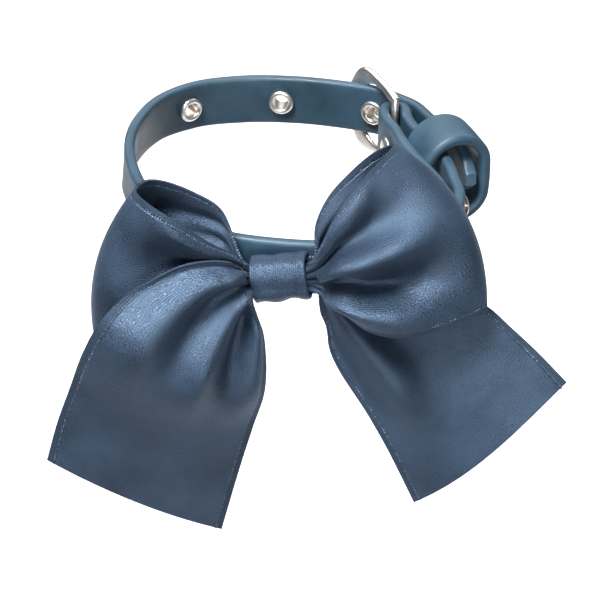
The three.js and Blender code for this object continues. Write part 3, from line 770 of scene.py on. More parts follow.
def stitches(name: str, paths: list[Array], sizes: Row, thread: Material) -> Piece:
    """Lays stitches along paths.

    Args:
        name: the piece's name.
        paths: rows of points in millimetres, one array for each path.
        sizes: the spacing from stitch to stitch, a stitch's length and its width, in millimetres.
        thread: its material.

    Returns:
        The stitches as one plain mesh.
    """
    edges, start = [], 0
    for path in paths:
        edges += [[start + i, start + i + 1] for i in range(len(path) - 1)]
        start += len(path)
    piece = new_object(name, np.vstack(paths), edges)
    laid = piece.modifiers.new("stitches", "NODES")
    laid.node_group = stitch_tree()
    for label, size in zip(("Spacing", "Stitch Length", "Stitch Width"), sizes):
        set_input(laid, label, size * MM)
    set_input(laid, "Thread", thread)
    return settle(piece)


def rim_tree() -> bpy.types.NodeTree:
    """Returns the geometry tree that sets one turned rim at each marked point, along its aim."""
    number = "NodeSocketFloat"
    build, given, out = group(
        "set rims", "GeometryNodeTree",
        [("Points", "NodeSocketGeometry", None), ("Rim", "NodeSocketObject", None), ("Size", number, 1.0),
         ("Plate", "NodeSocketMaterial", None)],
        [("Rims", "NodeSocketGeometry")])
    rim = build.add("GeometryNodeObjectInfo", {"Object": given.outputs["Rim"]})
    aim = build.add("GeometryNodeInputNamedAttribute", {"Name": "aim"}, data_type="FLOAT_VECTOR")
    turn = build.add("FunctionNodeAlignRotationToVector", {"Vector": aim.outputs[0]}, axis="Z")
    laid = build.add("GeometryNodeInstanceOnPoints", {
        "Points": given.outputs["Points"], "Instance": rim.outputs["Geometry"], "Rotation": turn.outputs[0],
        "Scale": given.outputs["Size"]})
    return end_tree(build, laid, given.outputs["Plate"], out.inputs["Rims"])


# The strap and what is on it

# From the folded short end, round the heel bar, through the keeper, round the neck and back as the
# holed end: x, y of the middle of the upper edge, and the degrees by which the lower edge stands out.
STRAP_COURSE: list[Row] = [
    (33.9, -22, 0), (32.2, -14.6, 0), (29.3, -6.4, 0), (26.8, 0.4, 0), (25, 6.6, 0), (23.8, 12, 0),
    (22, 17.4, 0), (21.65, 21.4, 0), (22.45, 23.5, 0), (24.3, 24.3, 0), (26.15, 23.5, 0),
    (26.95, 21.4, 0), (27.2, 17.4, 0), (28.5, 12.4, 0), (30.8, 8, 0), (32.9, 1.9, 0), (34.8, -4.6, 0),
    (35.7, -12, 0), (36.3, -20.2, 0), (34.7, -28.2, 0), (29.8, -35.2, 0), (21.6, -40.6, 0),
    (9.6, -42, 0), (-3.2, -40.9, 0), (-14.6, -37.6, 0), (-24.6, -30.2, 0), (-31.6, -19.6, 0),
    (-35.6, -8.2, 0), (-37.4, 5, 6), (-36.4, 15.8, 9), (-32, 27.6, 8), (-23.9, 35.5, 3), (-12, 38.9, 0),
    (1.2, 38.4, 0), (12, 35.8, 0), (20.4, 32.6, 0), (25.6, 28.4, 0), (29.4, 24.2, 0), (32.2, 18, 0),
    (35, 11.6, 0), (38.2, 4.4, 0), (40.6, -3.6, 0),
]
UP = np.array([0.0, 0.0, 1.0])
HEEL = np.array([24.3, 21.6, 0.0])


@dataclass
class Strap:
    """The coated strap, in one run from its folded short end to its tip."""

    width: float = 12.5
    thick: float = 2.5
    edge_round: float = 1.0
    dish: float = 0.07
    tip_length: float = 7
    tip_from: float = 0.9
    tip_blunt: float = 0.06
    stations: int = 420
    short_end: float = 0.17
    layer_gap: float = 3.6
    one_layer: float = 8
    both_layers: float = 12
    eyelet_spacing: float = 24
    eyelet_cut: float = 2.42
    rivet_cut: float = 1.4
    post_cut: float = 1.6
    groove: float = 2.35
    slot: float = 2.14
    third_eyelet: Row = (20.4, 32.6, 0)
    rivets: tuple[Row, ...] = ((23.8, 12, 0), (32.7, -16.6, 0))
    bow_place: Row = (-3.2, -40.9, 0)

    def __post_init__(self) -> None:
        """Works out the course and the places of the holes."""
        table = np.array(STRAP_COURSE, float)
        self.course = SmoothCurve(np.column_stack([table[:, 0], table[:, 1], np.zeros(len(table))]))
        self.lean = table[:, 2]
        third = self.course.nearest(np.array(self.third_eyelet), 0.7, 1)
        second = self.back_from(third)
        self.eyelet_places = [self.frame(t) for t in (self.back_from(second), second, third)]
        self.bow = self.frame(self.course.nearest(np.array(self.bow_place), 0.3, 0.7))

    def back_from(self, t: float) -> float:
        """Returns the place one eyelet spacing before place t."""
        places = np.linspace(t, t - 0.2, 2001)
        run = np.cumsum(np.linalg.norm(np.diff(self.course.at(places), axis=0), axis=1))
        return float(places[1 + int(np.searchsorted(run, self.eyelet_spacing))])

    def frame(self, t: object) -> tuple[Array, Array, Array]:
        """Places and directions on the strap's middle.

        Args:
            t: one place or many, from 0 to 1.

        Returns:
            The middle, the direction across the strap's thickness and the direction up its width.
        """
        t = np.asarray(t, float)
        along = self.course.along(t)
        side = np.stack([along[..., 1], -along[..., 0], np.zeros_like(along[..., 0])], -1)
        place = t * (len(self.lean) - 1)
        i = np.minimum(place.astype(int), len(self.lean) - 2)
        lean = np.radians(self.lean[i] + (self.lean[i + 1] - self.lean[i]) * smoothstep(place - i))[..., None]
        up = UP * np.cos(lean) + side * np.sin(lean)
        across = side * np.cos(lean) - UP * np.sin(lean)
        half = self.width / 2
        return self.course.at(t) + UP * half - up * half, across, up

    def rivet_line(self, place: Row) -> tuple[Array, Array]:
        """Returns the strap's middle inside and outside a rivet, through both layers."""
        inner, across, _ = self.frame(self.course.nearest(np.array(place), 0, self.short_end))
        side = across if across[0] > 0 else -across
        outer, _, _ = self.frame(self.course.nearest(inner + side * self.layer_gap, 0.2, 0.6))
        return inner, outer

    def build(self, finishes: Finishes) -> Piece:
        """Sweeps the strap along its course, cuts its holes and dresses it.

        Args:
            finishes: the shared materials.

        Returns:
            The strap.
        """
        t = self.course.even(self.stations)
        middle, across, up = self.frame(t)
        outline = rounded_box(self.thick, self.width, self.edge_round, steps=6, straight=5)
        left = np.linalg.norm(self.course.at(np.array(1.0)) - self.course.at(t), axis=-1)
        narrow = np.sqrt(np.clip(left / self.tip_length, self.tip_blunt, 1))
        taper = np.where(t > self.tip_from, narrow, 1)[:, None, None]
        dished = np.clip(1 - (outline[:, 1] / (self.width * 0.36)) ** 4, 0, 1)
        dish = self.dish * dished * np.sign(outline[:, 0])
        flat = (outline[:, 0] - dish)[None, :, None]
        rings = middle[:, None] + across[:, None] * flat + up[:, None] * outline[None, :, 1, None] * taper
        strap = sweep("strap_coated", rings, False)
        cutters = [cylinder(self.eyelet_cut, self.one_layer, p, a) for p, a, _ in self.eyelet_places]
        for place in self.rivets:
            inner, outer = self.rivet_line(place)
            cutters.append(cylinder(self.rivet_cut, self.both_layers, (inner + outer) / 2, outer - inner))
        cutters.append(cylinder(self.post_cut, self.one_layer, self.bow[0], self.bow[1]))
        cutters.append(cylinder(self.groove, self.slot, HEEL, UP))
        soften(carve(strap, cutters), degrees=40)
        return dress(strap, finishes.strap, Slot.STRAP, "strap")


@dataclass
class Keeper:
    """The sliding keeper: a thick coated band round the layers of the strap."""

    thick: float = 2.6
    width: float = 13
    depth: float = 15
    height: float = 22.4
    corner: float = 6
    bulge: float = 0.13
    edge_round: float = 1.15
    crown: float = 0.12
    drop: float = 0.2
    centre: Row = (35.6, 2.4)
    direction: Row = (0.295, -0.955)

    def build(self, finishes: Finishes) -> Piece:
        """Returns the dressed keeper."""
        along = unit(np.array([*self.direction, 0.0]))
        out = np.array([-along[1], along[0], 0.0])
        centre = np.array([*self.centre, -self.drop])
        middle = self.depth - self.thick, self.height - self.thick
        path = rounded_box(*middle, self.corner, steps=16, straight=6)
        section = rounded_box(self.thick, self.width, self.edge_round, steps=6, straight=5)
        rounding = 1 + self.bulge * np.cos(np.pi * path[:, 1] / self.height)
        place = centre + out * (path[:, 0] * rounding)[:, None] + UP * path[:, 1, None]
        facing = unit(out * path[:, 2, None] + UP * path[:, 3, None])
        reach = np.clip(section[:, 1] / self.width, -0.5, 0.5)
        crown = self.crown * np.cos(np.pi * reach) * (section[:, 0] > 0)
        off = facing[:, None] * (section[None, :, 0, None] + crown[None, :, None])
        rings = place[:, None] + off + along * section[None, :, 1, None]
        band = soften(sweep("keeper_band", rings, True), degrees=50)
        return dress(band, finishes.strap, Slot.STRAP, "keeper")


@dataclass
class Buckle:
    """The bent open frame with its heel bar, and the wire tongue on it."""

    bar: float = 1.9
    bar_length: float = 18.6
    tongue: float = 1.3
    drop: float = 0.4
    length: float = 17.6
    thick: float = 1.9
    arm: float = 2.2
    front: float = 4.8
    widens_from: float = 7
    widens_over: float = 7
    chamfer: float = 0.3
    gap: float = 0.32
    eye: float = 0.4
    bend: tuple[Row, ...] = ((24.3, 21.6), (20.6, 33.4), (15.2, 38))
    # Upper half of the frame's middle line from the heel bar to the front bar: along, high.
    outline: tuple[Row, ...] = ((-0.1, 8.3), (4, 8.9), (9, 9.2), (13.2, 8.3), (15.4, 6), (16.6, 3), (16.9, 0))
    tongue_path: tuple[Row, ...] = (
        (23.6, 23.2), (22.6, 25.6), (20.6, 28.2), (19.95, 30.2), (20.85, 35), (19.8, 37.6), (17.2, 39.7),
        (13.8, 40.9))

    def on_bend(self, along: Array, high: Array, lift: Array) -> Array:
        """Points of the frame.

        Args:
            along: distance from the heel bar.
            high: height above the frame's middle.
            lift: distance off the frame's middle face.

        Returns:
            Coordinates in millimetres.
        """
        a, b, c = (np.array(p, float) for p in self.bend)
        t = np.clip(along / self.length, 0, 1)[..., None]
        p = a * (1 - t) ** 2 + b * 2 * t * (1 - t) + c * t**2
        d = unit((b - a) * 2 * (1 - t) + (c - b) * 2 * t)
        out = np.stack([d[..., 1], -d[..., 0]], -1)
        flat = p + d * (along[..., None] - t * self.length) + out * lift[..., None]
        return np.concatenate([flat, (high - self.drop)[..., None]], -1)

    def build_frame(self, finishes: Finishes) -> Piece:
        """Returns the dressed frame with its heel bar."""
        upper = [(a, h, 0.0) for a, h in self.outline]
        lower = [(a, -h, 0.0) for a, h in self.outline[-2::-1]]
        curve = SmoothCurve(np.array(upper + lower, float))
        t = np.linspace(0, 1, 150)
        at, run = curve.at(t), curve.along(t)
        widened = smoothstep((at[:, 0] - self.widens_from) / self.widens_over)
        wide = self.arm + (self.front - self.arm) * widened
        a = np.linspace(0, FULL_TURN, 24, endpoint=False)
        across = np.sign(np.cos(a)) * np.abs(np.cos(a)) ** 0.5
        lift = np.sign(np.sin(a)) * np.abs(np.sin(a)) ** 0.6 * self.thick / 2
        shift = wide[:, None] / 2 * across[None]
        forward = at[:, 0, None] - run[:, 1, None] * shift
        high = at[:, 1, None] + run[:, 0, None] * shift
        rings = self.on_bend(forward, high, np.broadcast_to(lift, shift.shape))
        frame_loop = sweep("buckle_frame_bent", rings, False)
        r, h = self.bar / 2, self.bar_length / 2
        face, side = r * 0.7, h - self.chamfer
        profile = [(0, -h), (face, -h), (r, -side), (r, side), (face, h), (0, h)]
        bar = turned("heel_bar", profile, HEEL - UP * self.drop, UP, 24)
        whole = soften(join([frame_loop, bar]), degrees=50)
        return dress(whole, finishes.nickel, Slot.METAL, "buckle_frame")

    def build_tongue(self, finishes: Finishes) -> Piece:
        """Returns the dressed tongue with its eye round the heel bar."""
        curve = SmoothCurve(np.array([(x, y, 0.0) for x, y in self.tongue_path]))
        t = np.linspace(0, 1, 70)
        at, run = curve.at(t), curve.along(t)
        side = np.stack([run[:, 1], -run[:, 0], np.zeros(len(t))], -1)
        radius = self.tongue / 2 * np.sqrt(np.clip((1.012 - t) / 0.06, 0.1, 1))
        a = np.linspace(0, FULL_TURN, 20, endpoint=False)
        ring = side[:, None] * np.cos(a)[None, :, None] + UP * np.sin(a)[None, :, None]
        shank = sweep("buckle_tongue_wire", at[:, None] + ring * radius[:, None, None], False)
        middle, half = self.bar / 2 + self.gap + self.eye, self.tongue / 2
        turn = np.linspace(0, FULL_TURN, 14, endpoint=False)
        wire = [(middle + self.eye * math.cos(v), half * math.sin(v)) for v in turn]
        whole = soften(join([shank, turned("tongue_eye", wire, HEEL, UP, 32)]), degrees=60)
        return dress(whole, finishes.nickel, Slot.METAL, "buckle_tongue")


@dataclass
class Fasteners:
    """Eyelets, rivets and the hidden post of the bow, all turned from nickel-plated metal."""

    strap: Strap
    hole: float = 3.5
    barrel: float = 4.2
    flange: float = 6.2
    seat: float = 1.89
    rim: float = 0.65
    shaft: float = 2.2
    head: float = 6.0
    reach: float = 1.99
    back_share: float = 0.4
    back_dome: float = 0.7
    post_seat: float = 0.58
    post_reach: float = 1.32
    post_head: float = 3.2
    post_shaft: float = 1.3
    post_dome: float = 0.9

    def rolled_rim(self) -> list[Row]:
        """Returns the profile of an eyelet with a rolled rim on both faces: radius, height."""
        inner, outer = self.hole / 2, self.flange / 2
        middle, half = (inner + outer) / 2, (outer - inner) / 2
        arc = np.linspace(math.pi, 0, 12)
        top = [(middle + half * math.cos(a), self.seat + self.rim * math.sin(a)) for a in arc]
        barrel = self.barrel / 2
        lower = [(r, -h) for r, h in reversed(top)]
        return [*top, (barrel, self.seat - 0.02), (barrel, -self.seat + 0.02), *lower]

    def build_eyelets(self, finishes: Finishes) -> Piece:
        """Sets a rolled eyelet at each hole of the strap and returns them as one piece."""
        rim = turned("rim", self.rolled_rim(), np.zeros(3), UP, 56)
        places, aims, _ = zip(*self.strap.eyelet_places)
        marks = new_object("eyelets_rolled", np.array(places), [])
        aim = marks.data.attributes.new("aim", "FLOAT_VECTOR", "POINT")
        aim.data.foreach_set("vector", np.array(aims, np.float32).ravel())
        setter = marks.modifiers.new("rims", "NODES")
        setter.node_group = rim_tree()
        set_input(setter, "Rim", rim)
        set_input(setter, "Plate", finishes.nickel)
        settle(marks)
        bpy.data.objects.remove(rim)
        return dress(marks, finishes.nickel, Slot.METAL, "eyelet_1", "eyelet_2", "eyelet_3")

    def build_rivets(self, finishes: Finishes) -> list[Piece]:
        """Returns the two dressed rivets of the folded short end."""
        made = []
        for number, place in enumerate(self.strap.rivets, 1):
            inner, outer = self.strap.rivet_line(place)
            half = np.linalg.norm(outer - inner) / 2 + self.reach
            r, back = self.head / 2, self.head * self.back_share
            dome = [(r * math.sin(a), -half - math.cos(a)) for a in np.linspace(0, math.pi / 2, 10)]
            turn = np.linspace(math.pi / 2, 0, 8)
            flat = [(back * math.sin(a), half + self.back_dome * math.cos(a)) for a in turn]
            shaft = self.shaft / 2
            profile = [*dome, (shaft, -half), (shaft, half), *flat]
            rivet = turned(f"rivet_{number}", profile, (inner + outer) / 2, outer - inner, 44)
            soften(rivet, degrees=50)
            made.append(dress(rivet, finishes.nickel, Slot.METAL, f"strap_rivet_{number}"))
        return made

    def build_post(self, axis: Array, finishes: Finishes) -> Piece:
        """Returns the dressed post that holds the bow, its domed head inside the strap."""
        back = self.strap.thick / 2 + self.post_seat
        head, shaft, reach = self.post_head, self.post_shaft, self.strap.thick / 2 + self.post_reach
        turn = np.linspace(0, math.pi / 2, 10)
        dome = [(head * math.sin(a), -back - self.post_dome * math.cos(a)) for a in turn]
        profile = [*dome, (shaft, -back), (shaft, reach), (0, reach)]
        post = turned("bow_post_turned", profile, self.strap.bow[0], axis, 44)
        return dress(soften(post, degrees=50), finishes.nickel, Slot.METAL, "bow_post")


# The bow

KNOT_CENTRE = np.array([-2.4, -47.2, 0.9])
KNOT_TURN = np.array(
    Matrix.Rotation(math.radians(-7), 3, "Z") @ Matrix.Rotation(math.radians(-10), 3, "Y"))
KNOT_ALONG, KNOT_OUT, KNOT_UP = KNOT_TURN @ [1, 0, 0], KNOT_TURN @ [0, -1, 0], KNOT_TURN @ [0, 0, 1]


@dataclass(frozen=True)
class Section:
    """One section across a ribbon: its upper and lower selvage and how far its middle stands off.

    Args:
        top: the upper selvage.
        low: the lower selvage.
        belly: how far the middle stands off.
        in_knot: whether the places are along, towards the front and up in the knot.
    """

    top: Row
    low: Row
    belly: float
    in_knot: bool = False

    def place(self, point: Row) -> Array:
        """Returns a selvage point in the collar's frame."""
        if not self.in_knot:
            return np.array(point, float)
        return KNOT_CENTRE + KNOT_ALONG * point[0] + KNOT_OUT * point[1] + KNOT_UP * point[2]


def root(along: float, out: float, half: float) -> Section:
    """Returns a section inside the knot, from half above to half below its middle."""
    return Section((along, out, half), (along, out, -half), 0, True)


def sections(*rows: Section | Row) -> list[Section]:
    """Returns a ribbon's sections.

    Args:
        rows: ready sections, or x, y, z of the upper selvage, x, y, z of the lower one, and the belly.

    Returns:
        One section for each row.
    """
    return [row if isinstance(row, Section) else Section(row[:3], row[3:6], row[6]) for row in rows]


# A fold runs along the ribbon: its place across at the knot and where it dies out (0 top, 1 low),
# its height, its half width at the end, and the part of the length that it fills.
Fold = tuple[float, float, float, float, float, float]

LEFT_LOOP = sections(
    root(-1, 0, 3.2), root(-6.3, 0, 3.5), (-12.9, -49.6, 8.1, -12.8, -48.4, -7, 0.1),
    (-17.6, -52.2, 12.6, -18, -50.4, -11, 1.2), (-23.9, -53.2, 18.4, -25, -51.4, -14.6, 1.8),
    (-29.4, -51.6, 21.2, -33, -51.2, -17, 3.2), (-31.6, -46.8, 21.2, -41.6, -47, -15.6, 3.8),
    (-29.5, -41.4, 20.4, -36.4, -42, -16.6, 2.6), (-26.2, -39.6, 19.1, -28.4, -40.4, -14.6, 1),
    (-20.2, -39.8, 16.5, -20, -40.8, -11, 0.3), (-15, -41.2, 13.4, -14, -42.6, -7.4, 0.4),
    root(-7, -1.95, 2.7), root(-1, -1.95, 2.7),
)
RIGHT_LOOP = sections(
    root(1, 1.95, 2.9), root(6.3, 1.95, 3.2), (5.6, -51.4, 10.6, 8.4, -52, -2.8, 1),
    (8, -50.8, 16.3, 11.6, -54.6, -4.4, 1.6), (10.8, -49, 20.1, 16, -56.8, -6.3, 2),
    (14.4, -46, 23.6, 22, -57.4, -7.2, 2), (18.2, -41.4, 25.6, 30.6, -55.6, -6.6, 3.6),
    (20.6, -36.6, 26, 40, -49.6, -6, 5.8), (16.4, -37.4, 24.4, 36.4, -48.4, -7, 2.2),
    (10.7, -40, 20.3, 27, -50, -8, -0.8), (6.9, -43, 16.9, 18, -51.2, -7.2, -1.6),
    (4.6, -45.6, 12.4, 10.8, -50.8, -5, -0.8), root(7, 0, 3.2), root(1, 0, 3.2),
)
LEFT_TAIL = sections(
    root(-1, 2.15, 2.5), root(-6.3, 2.15, 3), (-12.4, -53.2, 7.9, -7.6, -51.8, -5.6, 0.4),
    (-17.6, -54.4, 8.8, -6.6, -52.2, -8.4, 0.8), (-22.8, -55.6, 8.2, -6.2, -52.3, -11, 1.2),
    (-28.3, -57.2, 5.8, -6, -52.5, -14, 2.4), (-34.1, -59.2, 2.9, -5.9, -52.5, -17.5, 4.4),
    (-38.8, -60.6, -1.3, -6.1, -52.2, -21.4, 6.4), (-42.4, -59.6, -8.5, -6.7, -51.7, -26.2, 6.8),
    (-46.5, -56, -20.6, -8.7, -50.5, -34.4, 4.6), (-50, -55.2, -30.3, -11.9, -50.4, -46.2, 2.8),
    (-52.9, -55, -40.1, -16.2, -50.6, -63, 2.4),
)
RIGHT_TAIL = sections(
    root(1, -1.95, 2.7), root(6.3, -1.95, 3), (10.4, -44.8, 4.6, 5.7, -46.4, -8.5, 0),
    (16, -44.2, 3.4, 7, -48.5, -11.5, 0), (24, -43.2, 0.8, 7.7, -50, -15, 0.2),
    (33, -42.8, -3.9, 9.4, -51, -19.3, 0.4), (41.4, -44, -8.9, 12.4, -52, -24.7, 1),
    (45.6, -45.5, -12.4, 15.9, -52.5, -30.5, 1.6), (50.3, -47, -16.5, 19.4, -53, -37.2, 2.4),
    (54.1, -48.5, -20, 23, -53, -45.4, 3.4), (58, -50, -23.8, 26.5, -53, -53.6, 4.6),
)
LEFT_LOOP_FOLDS: list[Fold] = [
    (0.1, 0.08, 2.2, 0.07, 0.1, 0.42), (0.36, 0.42, -5, 0.16, 0.1, 0.5),
    (0.66, 0.68, 3.4, 0.12, 0.1, 0.46), (0.86, 0.88, -2.4, 0.1, 0.1, 0.44),
    (0.24, 0.2, 2, 0.14, 0.6, 0.92), (0.6, 0.55, -1.8, 0.16, 0.6, 0.92),
]
RIGHT_LOOP_FOLDS: list[Fold] = [
    (0.1, 0.1, 0.8, 0.07, 0.1, 0.42), (0.27, 0.33, -4, 0.1, 0.1, 0.5), (0.44, 0.5, 5, 0.11, 0.1, 0.54),
    (0.62, 0.68, -6.4, 0.12, 0.1, 0.54), (0.83, 0.89, 4, 0.1, 0.1, 0.5),
    (0.3, 0.3, 1.8, 0.14, 0.62, 0.92), (0.6, 0.6, -2, 0.14, 0.62, 0.92),
]
LEFT_TAIL_FOLDS: list[Fold] = [
    (0.1, 0.05, -2, 0.07, 0.1, 0.66), (0.25, 0.19, 3.4, 0.14, 0.1, 0.86),
    (0.43, 0.42, -2.8, 0.11, 0.1, 0.78), (0.59, 0.6, 3, 0.09, 0.12, 0.86),
    (0.75, 0.75, -4, 0.11, 0.18, 0.8), (0.9, 0.91, 2.4, 0.08, 0.24, 0.84),
]
RIGHT_TAIL_FOLDS: list[Fold] = [
    (0.25, 0.16, -2.2, 0.15, 0.1, 0.62), (0.52, 0.5, -2.4, 0.13, 0.1, 0.66),
    (0.74, 0.76, 4.4, 0.13, 0.1, 0.9), (0.93, 0.96, -2.2, 0.09, 0.16, 0.8),
]


@dataclass
class Ribbon:
    """One run of satin ribbon between two selvages, bellied, folded and gathered at the knot.

    Args:
        node: the solid that it stands for.
        sections: its sections from end to end.
        folds: its folds.
        face: which way the folds stand.
        both_ends: whether both ends go into the knot.
        flat_length: the length of its cloth, along its middle, in millimetres; not used.
    """

    node: str
    sections: list[Section]
    folds: list[Fold]
    face: Face
    both_ends: bool
    flat_length: float
    along_steps: int = 230
    across_steps: int = 84
    thick: float = 0.5
    flat_width: float = 40
    gather_depth: float = 0.75
    gather_count: float = 6
    gather_reach: float = 0.4
    ripple: float = 0.6
    ripple_reach: float = 0.14
    ripple_count: float = 4
    flutter: float = 0.08
    bare_root: float = 0.1
    edge_inset: int = 3
    stitch: Row = (0.6, 0.52, 0.64)

    def selvages(self, s: Array) -> tuple[Array, Array]:
        """Returns the upper and the lower selvage at places s along the ribbon."""
        top = SmoothCurve(np.array([row.place(row.top) for row in self.sections]))
        low = SmoothCurve(np.array([row.place(row.low) for row in self.sections]))
        return top.at(s), low.at(s)

    def belly(self, s: Array) -> Array:
        """Returns how far the middle of the ribbon stands off at places s."""
        table = SmoothCurve(np.array([(4 * i, row.belly, 0.0) for i, row in enumerate(self.sections)]))
        return table.at(s.ravel())[:, 1].reshape(s.shape)

    def fold_height(self, s: Array, u: Array) -> Array:
        """Returns the height of all folds at places s along and u across."""
        height = np.zeros(np.broadcast(s, u).shape)
        for start, end, rise, spread, begin, stop in self.folds:
            run = np.clip((s - begin) / (stop - begin), 0, 1)
            swell = smoothstep(run / 0.15) * (1 - smoothstep((run - 0.66) / 0.34))
            middle = start + (end - start) * run
            wide = spread * (0.65 + 0.7 * run)
            height = height + rise * swell * np.exp(-(((u - middle) / wide) ** 2))
        return height

    def from_knot(self, s: Array) -> Array:
        """Returns how far places s are from the nearest end in the knot."""
        return np.minimum(s, 1 - s) if self.both_ends else s

    def gathers(self, s: Array, u: Array) -> Array:
        """Returns the height of the fine gathers that fan out of the knot."""
        near = self.from_knot(s)
        fade_out = np.clip((self.gather_reach - near) / (self.gather_reach - 0.12), 0, 1) ** 1.5
        fade = np.clip((near - 0.04) / 0.06, 0, 1) * fade_out
        wander = 0.6 * np.sin(5 * u + 9 * s) + 0.4 * np.sin(11 * u - 5 * s)
        calm_edge = np.clip(6 * u * (1 - u), 0, 1)
        return self.gather_depth * fade * calm_edge * np.sin(2 * np.pi * self.gather_count * u + wander)

    def surface(self) -> tuple[Array, Array]:
        """Works out the ribbon's middle surface.

        Returns:
            A grid of places and a grid of normals, along by across.
        """
        s = np.linspace(0, 1, self.along_steps + 1)[:, None]
        u = np.linspace(0, 1, self.across_steps + 1)[None, :]
        top, low = self.selvages(s[:, 0])
        base = top[:, None] * (1 - u[..., None]) + low[:, None] * u[..., None]
        open_share = np.clip(np.linalg.norm(top - low, axis=1) / self.flat_width, 0.1, 1)[:, None] ** 0.6
        pleats = (self.fold_height(s, u) + self.gathers(s, u)) * open_share
        height = self.belly(s) * 4 * u * (1 - u) + pleats
        height = height + self.flutter * np.sin(7 * u + 9 * s) * np.sin(11 * s + 2) * smoothstep(s * 4)
        near = np.clip(1 - self.from_knot(s) / self.ripple_reach, 0, 1)
        height = height - self.ripple * near * np.cos(FULL_TURN * self.ripple_count * u)
        if not self.both_ends:
            low_root = smoothstep((u - 0.62) / 0.24) * (1 - smoothstep((s - 0.14) / 0.24))
            height = height * (1 - 0.9 * low_root)
        lifted = base + self.normals(base) * (self.face.value * height)[..., None]
        return lifted, self.normals(lifted)

    @staticmethod
    def normals(grid: Array) -> Array:
        """Returns the unit normal at each point of a grid."""
        along = np.gradient(grid, axis=0)
        across = np.gradient(grid, axis=1)
        return unit(np.cross(across, along))

    def build(self, finishes: Finishes, rests_on: list[str]) -> Piece:
        """Makes the ribbon with its wall, its places on the flat cloth and its edge stitches, and dresses it.

        Args:
            finishes: the shared materials.
            rests_on: what holds it; not used.

        Returns:
            The ribbon.
        """
        name = f"{self.node}_satin"
        middle, normal = self.surface()
        rows, columns = middle.shape[:2]
        half = self.thick / 2
        points = np.vstack([(middle + normal * side).reshape(-1, 3) for side in (half, -half)])
        front = grid_faces(rows, columns, False, False)
        shift = rows * columns
        back = [[c + shift for c in reversed(f)] for f in front]
        left = [i * columns for i in range(rows)]
        right = [i * columns + columns - 1 for i in range(rows)]
        end = [(rows - 1) * columns + j for j in range(columns)]
        rim = left + end[1:] + right[::-1][1:] + list(range(columns))[::-1][1:-1]
        walls = [[a, b, b + shift, a + shift] for a, b in zip(rim, rim[1:] + rim[:1])]
        line = middle[:, columns // 2]
        run = np.concatenate([[0], np.cumsum(np.linalg.norm(np.diff(line, axis=0), axis=1))])
        across = np.linspace(0, self.flat_width, columns)
        uv = np.stack(np.broadcast_arrays(across[None, :], run[:, None]), -1).reshape(-1, 2) * MM
        piece = face_outwards(new_object(name, points, front + back + walls, np.vstack([uv, uv])))
        soften(piece, degrees=65)
        dress(piece, finishes.satin, Slot.RIBBON, self.node)
        start = int(self.bare_root * rows)
        stop = rows - start if self.both_ends else rows
        paths = [middle[start:stop, column] for column in (self.edge_inset, columns - 1 - self.edge_inset)]
        edge = stitches(f"{name}_edges", paths, self.stitch, finishes.thread)
        dress(edge, finishes.thread, Slot.RIBBON)
        log.info("%s: %.1f mm along its middle", name, run[-1])
        return piece


@dataclass
class Knot:
    """The wrap of ribbon round the bow's middle, pleated as it is pulled tight."""

    width: float = 11.6
    depth: float = 8.8
    height: float = 9.8
    corner: float = 3.7
    wall: float = 1.0
    flat_length: float = 34
    scallop: float = 0.5
    waist: float = 0.15
    crease: float = 0.05
    edge_inset: float = 0.5
    stitch: Row = (0.75, 0.8, 0.5)
    # Pleats round the knot: place along it, height, half width.
    pleats: tuple[Row, ...] = (
        (-3.9, 0.12, 1.0), (-1.4, -0.16, 0.8), (0.8, 0.14, 1.1), (3.1, -0.12, 0.7), (4.6, 0.08, 0.6))

    def build(self, finishes: Finishes) -> Piece:
        """Returns the dressed knot with its edge stitches."""
        middle = self.depth - self.wall, self.height - self.wall, self.corner - self.wall / 2
        path = rounded_box(*middle, steps=14, straight=8)
        section = rounded_box(self.wall * 0.8, self.width, 0.3, steps=4, straight=26)
        x = section[:, 1]
        lift = sum(rise * np.exp(-(((x - at) / wide) ** 2)) for at, rise, wide in self.pleats)
        angle = np.arctan2(path[:, 1], path[:, 0])
        sway = 0.5 + 0.5 * np.cos(angle * 3 + 0.6)
        under = np.clip(-path[:, 1] / (self.height / 2), 0, 1) ** 2
        wave = np.cos(FULL_TURN * (x[None] + 1.2) / 6.5) * (1 - (x[None] / self.width * 2) ** 4)
        scallop = under[:, None] * self.scallop * wave
        waist = -self.waist * np.exp(-((x / 3.4) ** 2))
        steps = np.linalg.norm(np.diff(path[:, :2], axis=0), axis=1)
        turn = np.concatenate([[0], np.cumsum(steps)])[:, None]
        creases = self.crease * np.sin(turn * 2.1 + 0.5 * np.sin(0.5 * x[None]) + 0.4)
        off = section[None, :, 0] + lift[None] * (0.4 + 0.6 * sway[:, None]) + scallop + waist[None] + creases
        facing = unit(KNOT_OUT * path[:, 2, None] + KNOT_UP * path[:, 3, None])
        place = KNOT_CENTRE + KNOT_OUT * path[:, 0, None] + KNOT_UP * path[:, 1, None]
        rings = place[:, None] + facing[:, None] * off[..., None] + KNOT_ALONG * x[None, :, None]
        piece = sweep("bow_knot_wrap", rings, True)
        run = np.concatenate([[0], np.cumsum(np.linalg.norm(np.diff(place, axis=0), axis=1))])
        across = x[None] + self.width / 2 + 12
        uv = np.stack(np.broadcast_arrays(across, run[:, None]), -1).reshape(-1, 2) * MM
        lay_cloth(piece.data, uv)
        soften(piece, degrees=60)
        dress(piece, finishes.satin, Slot.RIBBON, "bow_knot")
        outer = int(np.argmax((section[:, 0] > 0) * 10 + x))
        inner = int(np.argmax((section[:, 0] > 0) * 10 - x))
        paths = [np.vstack([rings[:, k], rings[:1, k]]) - KNOT_ALONG * self.edge_inset * np.sign(x[k])
                 for k in (outer, inner)]
        edge = stitches("bow_knot_wrap_edges", paths, self.stitch, finishes.thread)
        dress(edge, finishes.thread, Slot.RIBBON)
        return piece


